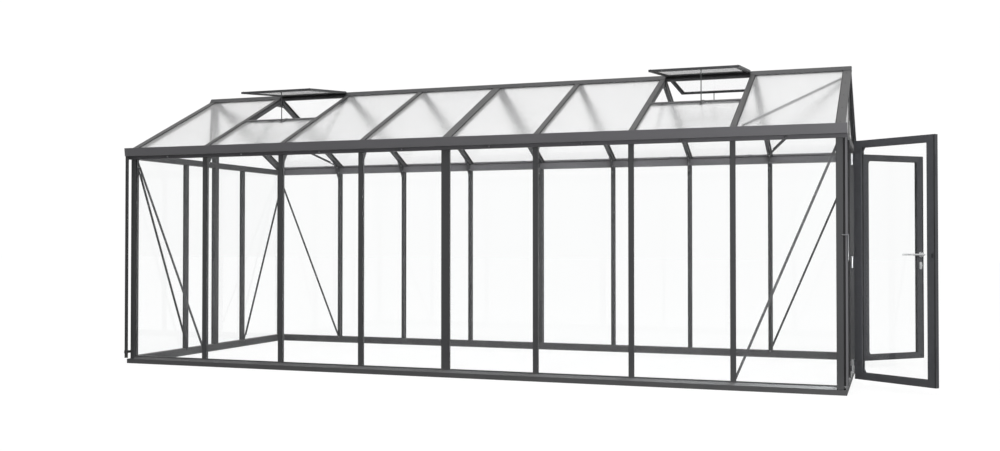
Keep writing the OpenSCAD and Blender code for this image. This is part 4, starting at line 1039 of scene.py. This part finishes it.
# %% Keep and bolt plates of the front leaf
KEEP_Z, KEEP_IN, KEEP_T = 0.962, 0.030, 0.0035
CATCH_IN, CATCH_OUT = 0.022, 0.0032
EDGE_PLATE_T, BOLT_PLATE_ZS = 0.0022, (0.26, 1.59)
bolt_plate = rounded(0.022, 0.150, 0.008)
plate("front_leaf_keep", [rounded(0.034, 0.052, 0.006)], KEEP_T,
      [on_face(front_leaf, LEAF_W - KEEP_IN, LEAF_T, KEEP_Z)], door_painted_light_coat, "front_leaf")
# The small black catch is partly painted shade: it stands for the shade in the keep's recess.
plate("front_leaf_painted_shade_catch", [rounded(0.012, 0.030, 0.003)], KEEP_T,
      [on_face(front_leaf, LEAF_W - CATCH_IN, LEAF_T + CATCH_OUT, KEEP_Z)], black_nylon_and_painted_shade, "front_leaf")
plate("front_leaf_bolts", [bolt_plate, bolt_plate], EDGE_PLATE_T,
      [on_edge(front_leaf, z) for z in BOLT_PLATE_ZS], door_painted_light_coat, "front_leaf")

# %% Latch face, escutcheons and key barrel of the rear leaf
LATCH_DROP, LATCH_OUT = 0.03, 0.0018
LOCK_PLATE_T, LOCK_BEVEL, BARREL_UP, BARREL_R = 0.003, 0.0004, 0.004, 0.0085
BARREL_FOOT = [(-0.0045, -0.018), (-0.002, -0.0205), (0.002, -0.0205), (0.0045, -0.018)]
barrel_turns = [math.radians(d) for d in range(-60, 241, 20)]
barrel = [(BARREL_R * math.cos(a), BARREL_R * math.sin(a)) for a in barrel_turns] + BARREL_FOOT
escutcheon = rounded(0.027, 0.064, 0.010)
plate("rear_leaf_latch", [rounded(0.022, 0.180, 0.008), rounded(0.010, 0.026, 0.003)], EDGE_PLATE_T,
      [on_edge(rear_leaf, LEVER_Z - LATCH_DROP), on_edge(rear_leaf, LEVER_Z, LATCH_OUT)],
      steel, "rear_leaf")
plate("rear_leaf_escutcheons", [escutcheon, escutcheon], LOCK_PLATE_T,
      [on_face(rear_leaf, LEVER_X, LEAF_T, LOCK_Z), on_face(rear_leaf, LEVER_X, 0.0, LOCK_Z, -1)],
      satin_nickel, "rear_leaf")
plate("rear_leaf_barrel", [barrel, barrel], LOCK_PLATE_T,
      [on_face(rear_leaf, LEVER_X, LEAF_T + ROSE_TOP, LOCK_Z + BARREL_UP),
       on_face(rear_leaf, LEVER_X, -ROSE_TOP, LOCK_Z + BARREL_UP, -1)],
      satin_nickel, "rear_leaf", bevel=LOCK_BEVEL)

# %% [markdown]
# ## Door corners
# Each corner post at the doors has a pale cover channel beside it, bedded on a black seal, and a hooked rod
# next to the holder that catches the opened leaf. Rubber buffers on the holder spare the glass, and the
# jambs carry a black strip. The pale channel is a painted highlight, and the black seal and the black jamb
# strip are painted shade; seen along the gable, they give the thin bright and dark lines between the wall
# and the doors. The channel is the folded strip again, and the seal and the rod are beads, so no new tree is
# needed.

# %% Buffers on the door holders
HOLDER_DEPTH, BUFFER_ZS = 0.032, (0.945, 1.091)
buffer_studs = [stud(right_gable, (side * HOLDER_Y, CORNER_OUT + SEAT_GAP + HOLDER_DEPTH, z), (0, 1, 0))
                for side in (-1, 1) for z in BUFFER_ZS]
fasten("holder_buffers", buffer_studs, BUFFER, seal_rubber, "frame")

# %% Cover channels (painted highlight), black seals (painted shade) and hooks on the door corners
COVER_W, COVER_LIP, COVER_T, COVER_GAP = 0.019, 0.006, 0.002, 0.0125
COVER_FOOT, COVER_HEAD = SILL_H + 0.002, EAVE_Z - 0.003
HOOK_R, HOOK_FROM, HOOK_TO, HOOK_HEAD, HOOK_FOOT = 0.005, 0.002, 0.0455, 1.105, 0.93
upward = Vector((0.0, 0.0, 1.0))
corner_s = HALF_W + CORNER_OUT
cover_out, cover_mid = CORNER_OUT + COVER_GAP + COVER_W / 2, (COVER_FOOT + COVER_HEAD) / 2
hook = ((HOOK_FROM, HOOK_HEAD), (HOOK_TO, HOOK_HEAD), (HOOK_TO, HOOK_FOOT))
highlight_cover_rows, shade_beads, hook_runs = [], [], []
for side in (-1, 1):
    inward = Vector((0.0, -side, 0.0))
    turn = Matrix((upward, inward, upward.cross(inward))).transposed().to_euler()
    highlight_cover_rows.append((right_gable(side * corner_s, cover_out, cover_mid), turn, COVER_HEAD - COVER_FOOT))
    shade_s, shade_out = side * (corner_s - COVER_GAP / 2), CORNER_OUT + COVER_GAP / 2
    shade_beads.append(([right_gable(shade_s, shade_out, z) for z in (COVER_FOOT, COVER_HEAD)], False))
    hook_runs.append(([right_gable(side * (corner_s + HOOK_R), out, z) for out, z in hook], False))
# The pale coat on the cover channels is a painted highlight line beside each corner post.
strips("corner_painted_highlight_covers", highlight_cover_rows, COVER_W, COVER_LIP, COVER_T, gutter_painted_light_coat, "frame")
# The black seal fills the gap beside each corner post as painted shade.
beads("corner_painted_shade_seals", shade_beads, COVER_GAP / 2, seal_rubber, "frame", sides=12)
beads("corner_hooks", hook_runs, HOOK_R, dull_steel, "frame", sides=12)

# %% Black strips on the jambs, painted shade
JAMB_STRIP_IN, JAMB_STRIP_OUT, JAMB_STRIP_T = 0.008, 0.037, 0.002
JAMB_STRIP_FOOT, JAMB_STRIP_HEAD, JAMB_STRIP_GAP = SILL_H + 0.002, HEAD_Z - 0.002, 0.0002
strip_s = JAMB_EDGE + JAMB_STRIP_GAP
shade_strip_outline = [(JAMB_STRIP_IN, JAMB_STRIP_FOOT), (JAMB_STRIP_OUT, JAMB_STRIP_FOOT),
                 (JAMB_STRIP_OUT, JAMB_STRIP_HEAD), (JAMB_STRIP_IN, JAMB_STRIP_HEAD)]
# The black jamb strips are painted shade along the door opening.
plate("jamb_painted_shade_strips", [shade_strip_outline, shade_strip_outline], JAMB_STRIP_T,
      [lambda u, v, w: right_gable(-strip_s - w, u, v), lambda u, v, w: right_gable(strip_s + w, u, v)],
      seal_rubber, "frame")

# %% [markdown]
# ## Stage, camera and light
# The photo was taken from outside the door end, at about the eye height of a kneeling person. Its camera
# was worked out from the bays and the eaves. The studio is white all round, with one large soft lamp from
# above and one from the side. A third lamp hangs over the door end and is linked to the sills alone, so
# that their sloped ledges shine towards that end and the roof under the lamp keeps its tone.

# %% Floor
FLOOR_HALF, FLOOR_TONE, FLOOR_GLOW = 60.0, (0.16, 0.16, 0.16), 0.87


def pale_floor():
    finish, tree, shader, _ = new_finish("pale_floor")
    speck = noise(tree, object_place(tree), 4.0, 3.0)
    feed(tree, shader, {
        "Base Color": scaled(tree, FLOOR_TONE, spread(tree, speck, 0.98, 1.0)), "Roughness": 0.9,
        "Specular IOR Level": 0.0, "Emission Color": (1.0, 1.0, 1.0, 1.0), "Emission Strength": FLOOR_GLOW})
    return finish


floor_mesh = bpy.data.meshes.new("floor")
floor_corners = [(FLOOR_HALF * x, FLOOR_HALF * y, 0.0) for x, y in ((-1, -1), (1, -1), (1, 1), (-1, 1))]
floor_mesh.from_pydata(floor_corners, [], [(0, 1, 2, 3)])
floor_mesh.materials.append(pale_floor())
floor = bpy.data.objects.new("floor", floor_mesh)
bpy.context.scene.collection.objects.link(floor)
floor.visible_diffuse = False
floor.visible_glossy = False
print("floor:", 2 * FLOOR_HALF, "m wide")

# %% Camera
EYE_AT = (3.338, -9.149, 1.054)
EYE_TILT, EYE_TURN = math.radians(90.88), math.radians(19.97)
SENSOR_MM, LENS_MM = 36.0, 39.474
eye = bpy.data.cameras.new("eye")
eye.sensor_fit = "HORIZONTAL"
eye.sensor_width = SENSOR_MM
eye.lens = LENS_MM
camera = bpy.data.objects.new("eye", eye)
camera.location = EYE_AT
camera.rotation_euler = (EYE_TILT, 0.0, EYE_TURN)
bpy.context.scene.collection.objects.link(camera)
bpy.context.scene.camera = camera
print("camera lens:", eye.lens)

# %% Light
def lamp(name, spot, target, size, watts):
    data = bpy.data.lights.new(name, "AREA")
    data.shape = "DISK"
    data.size = size
    data.energy = watts
    obj = bpy.data.objects.new(name, data)
    obj.location = spot
    obj.rotation_euler = (Vector(target) - Vector(spot)).to_track_quat("-Z", "Y").to_euler()
    bpy.context.scene.collection.objects.link(obj)
    return obj


lamp("top_softbox", (1.0, -3.0, 9.0), (0.0, 0.0, 1.0), 7.0, 150.0)
lamp("side_softbox", (5.5, -6.0, 1.6), (2.6, -1.2, 1.7), 1.6, 150.0)
end_lamp = lamp("end_softbox", (3.0, -0.2, 6.0), (3.0, -0.8, 0.0), 1.8, 600.0)
sills_only = bpy.data.collections.new("sills_only")
for name in SILLS:
    sills_only.objects.link(frame["nodes"][name])
end_lamp.light_linking.receiver_collection = sills_only
print("lamps: 3")

# %% [markdown]
# ## Two skies in one
# The photo's background is pure white, but a sky that white would wash out the dark frame. The world
# therefore shows white to the camera and to rays that went through glass without a bounce, and a dimmer
# sky, darker towards the ground, to all other rays.

# %% World
SKY_WHITE = 1.02
world = bpy.data.worlds.new("studio")
world.use_nodes = True
sky = world.node_tree
up = axis_of(sky, add(sky, "ShaderNodeTexCoord").outputs["Generated"], "Z")
above = spread(sky, up, 0.5, 1.0, -0.05, 0.9)
below = spread(sky, up, 0.12, 1.0, -0.25, 0.0)
seen = add(sky, "ShaderNodeLightPath").outputs
direct = calc(sky, "MAXIMUM", seen["Is Camera Ray"], seen["Is Transmission Ray"])
bounces = calc(sky, "ADD", seen["Diffuse Depth"], seen["Glossy Depth"])
white = calc(sky, "MULTIPLY", direct, calc(sky, "LESS_THAN", bounces, 0.5))
strength = add(sky, "ShaderNodeMix", {"Factor": white, 2: calc(sky, "MULTIPLY", above, below), 3: SKY_WHITE})
feed(sky, sky.nodes["Background"], {"Color": (1.0, 1.0, 1.0, 1.0), "Strength": strength.outputs[0]})
bpy.context.scene.world = world
bpy.context.scene.view_settings.view_transform = "Standard"
print("world:", world.name)
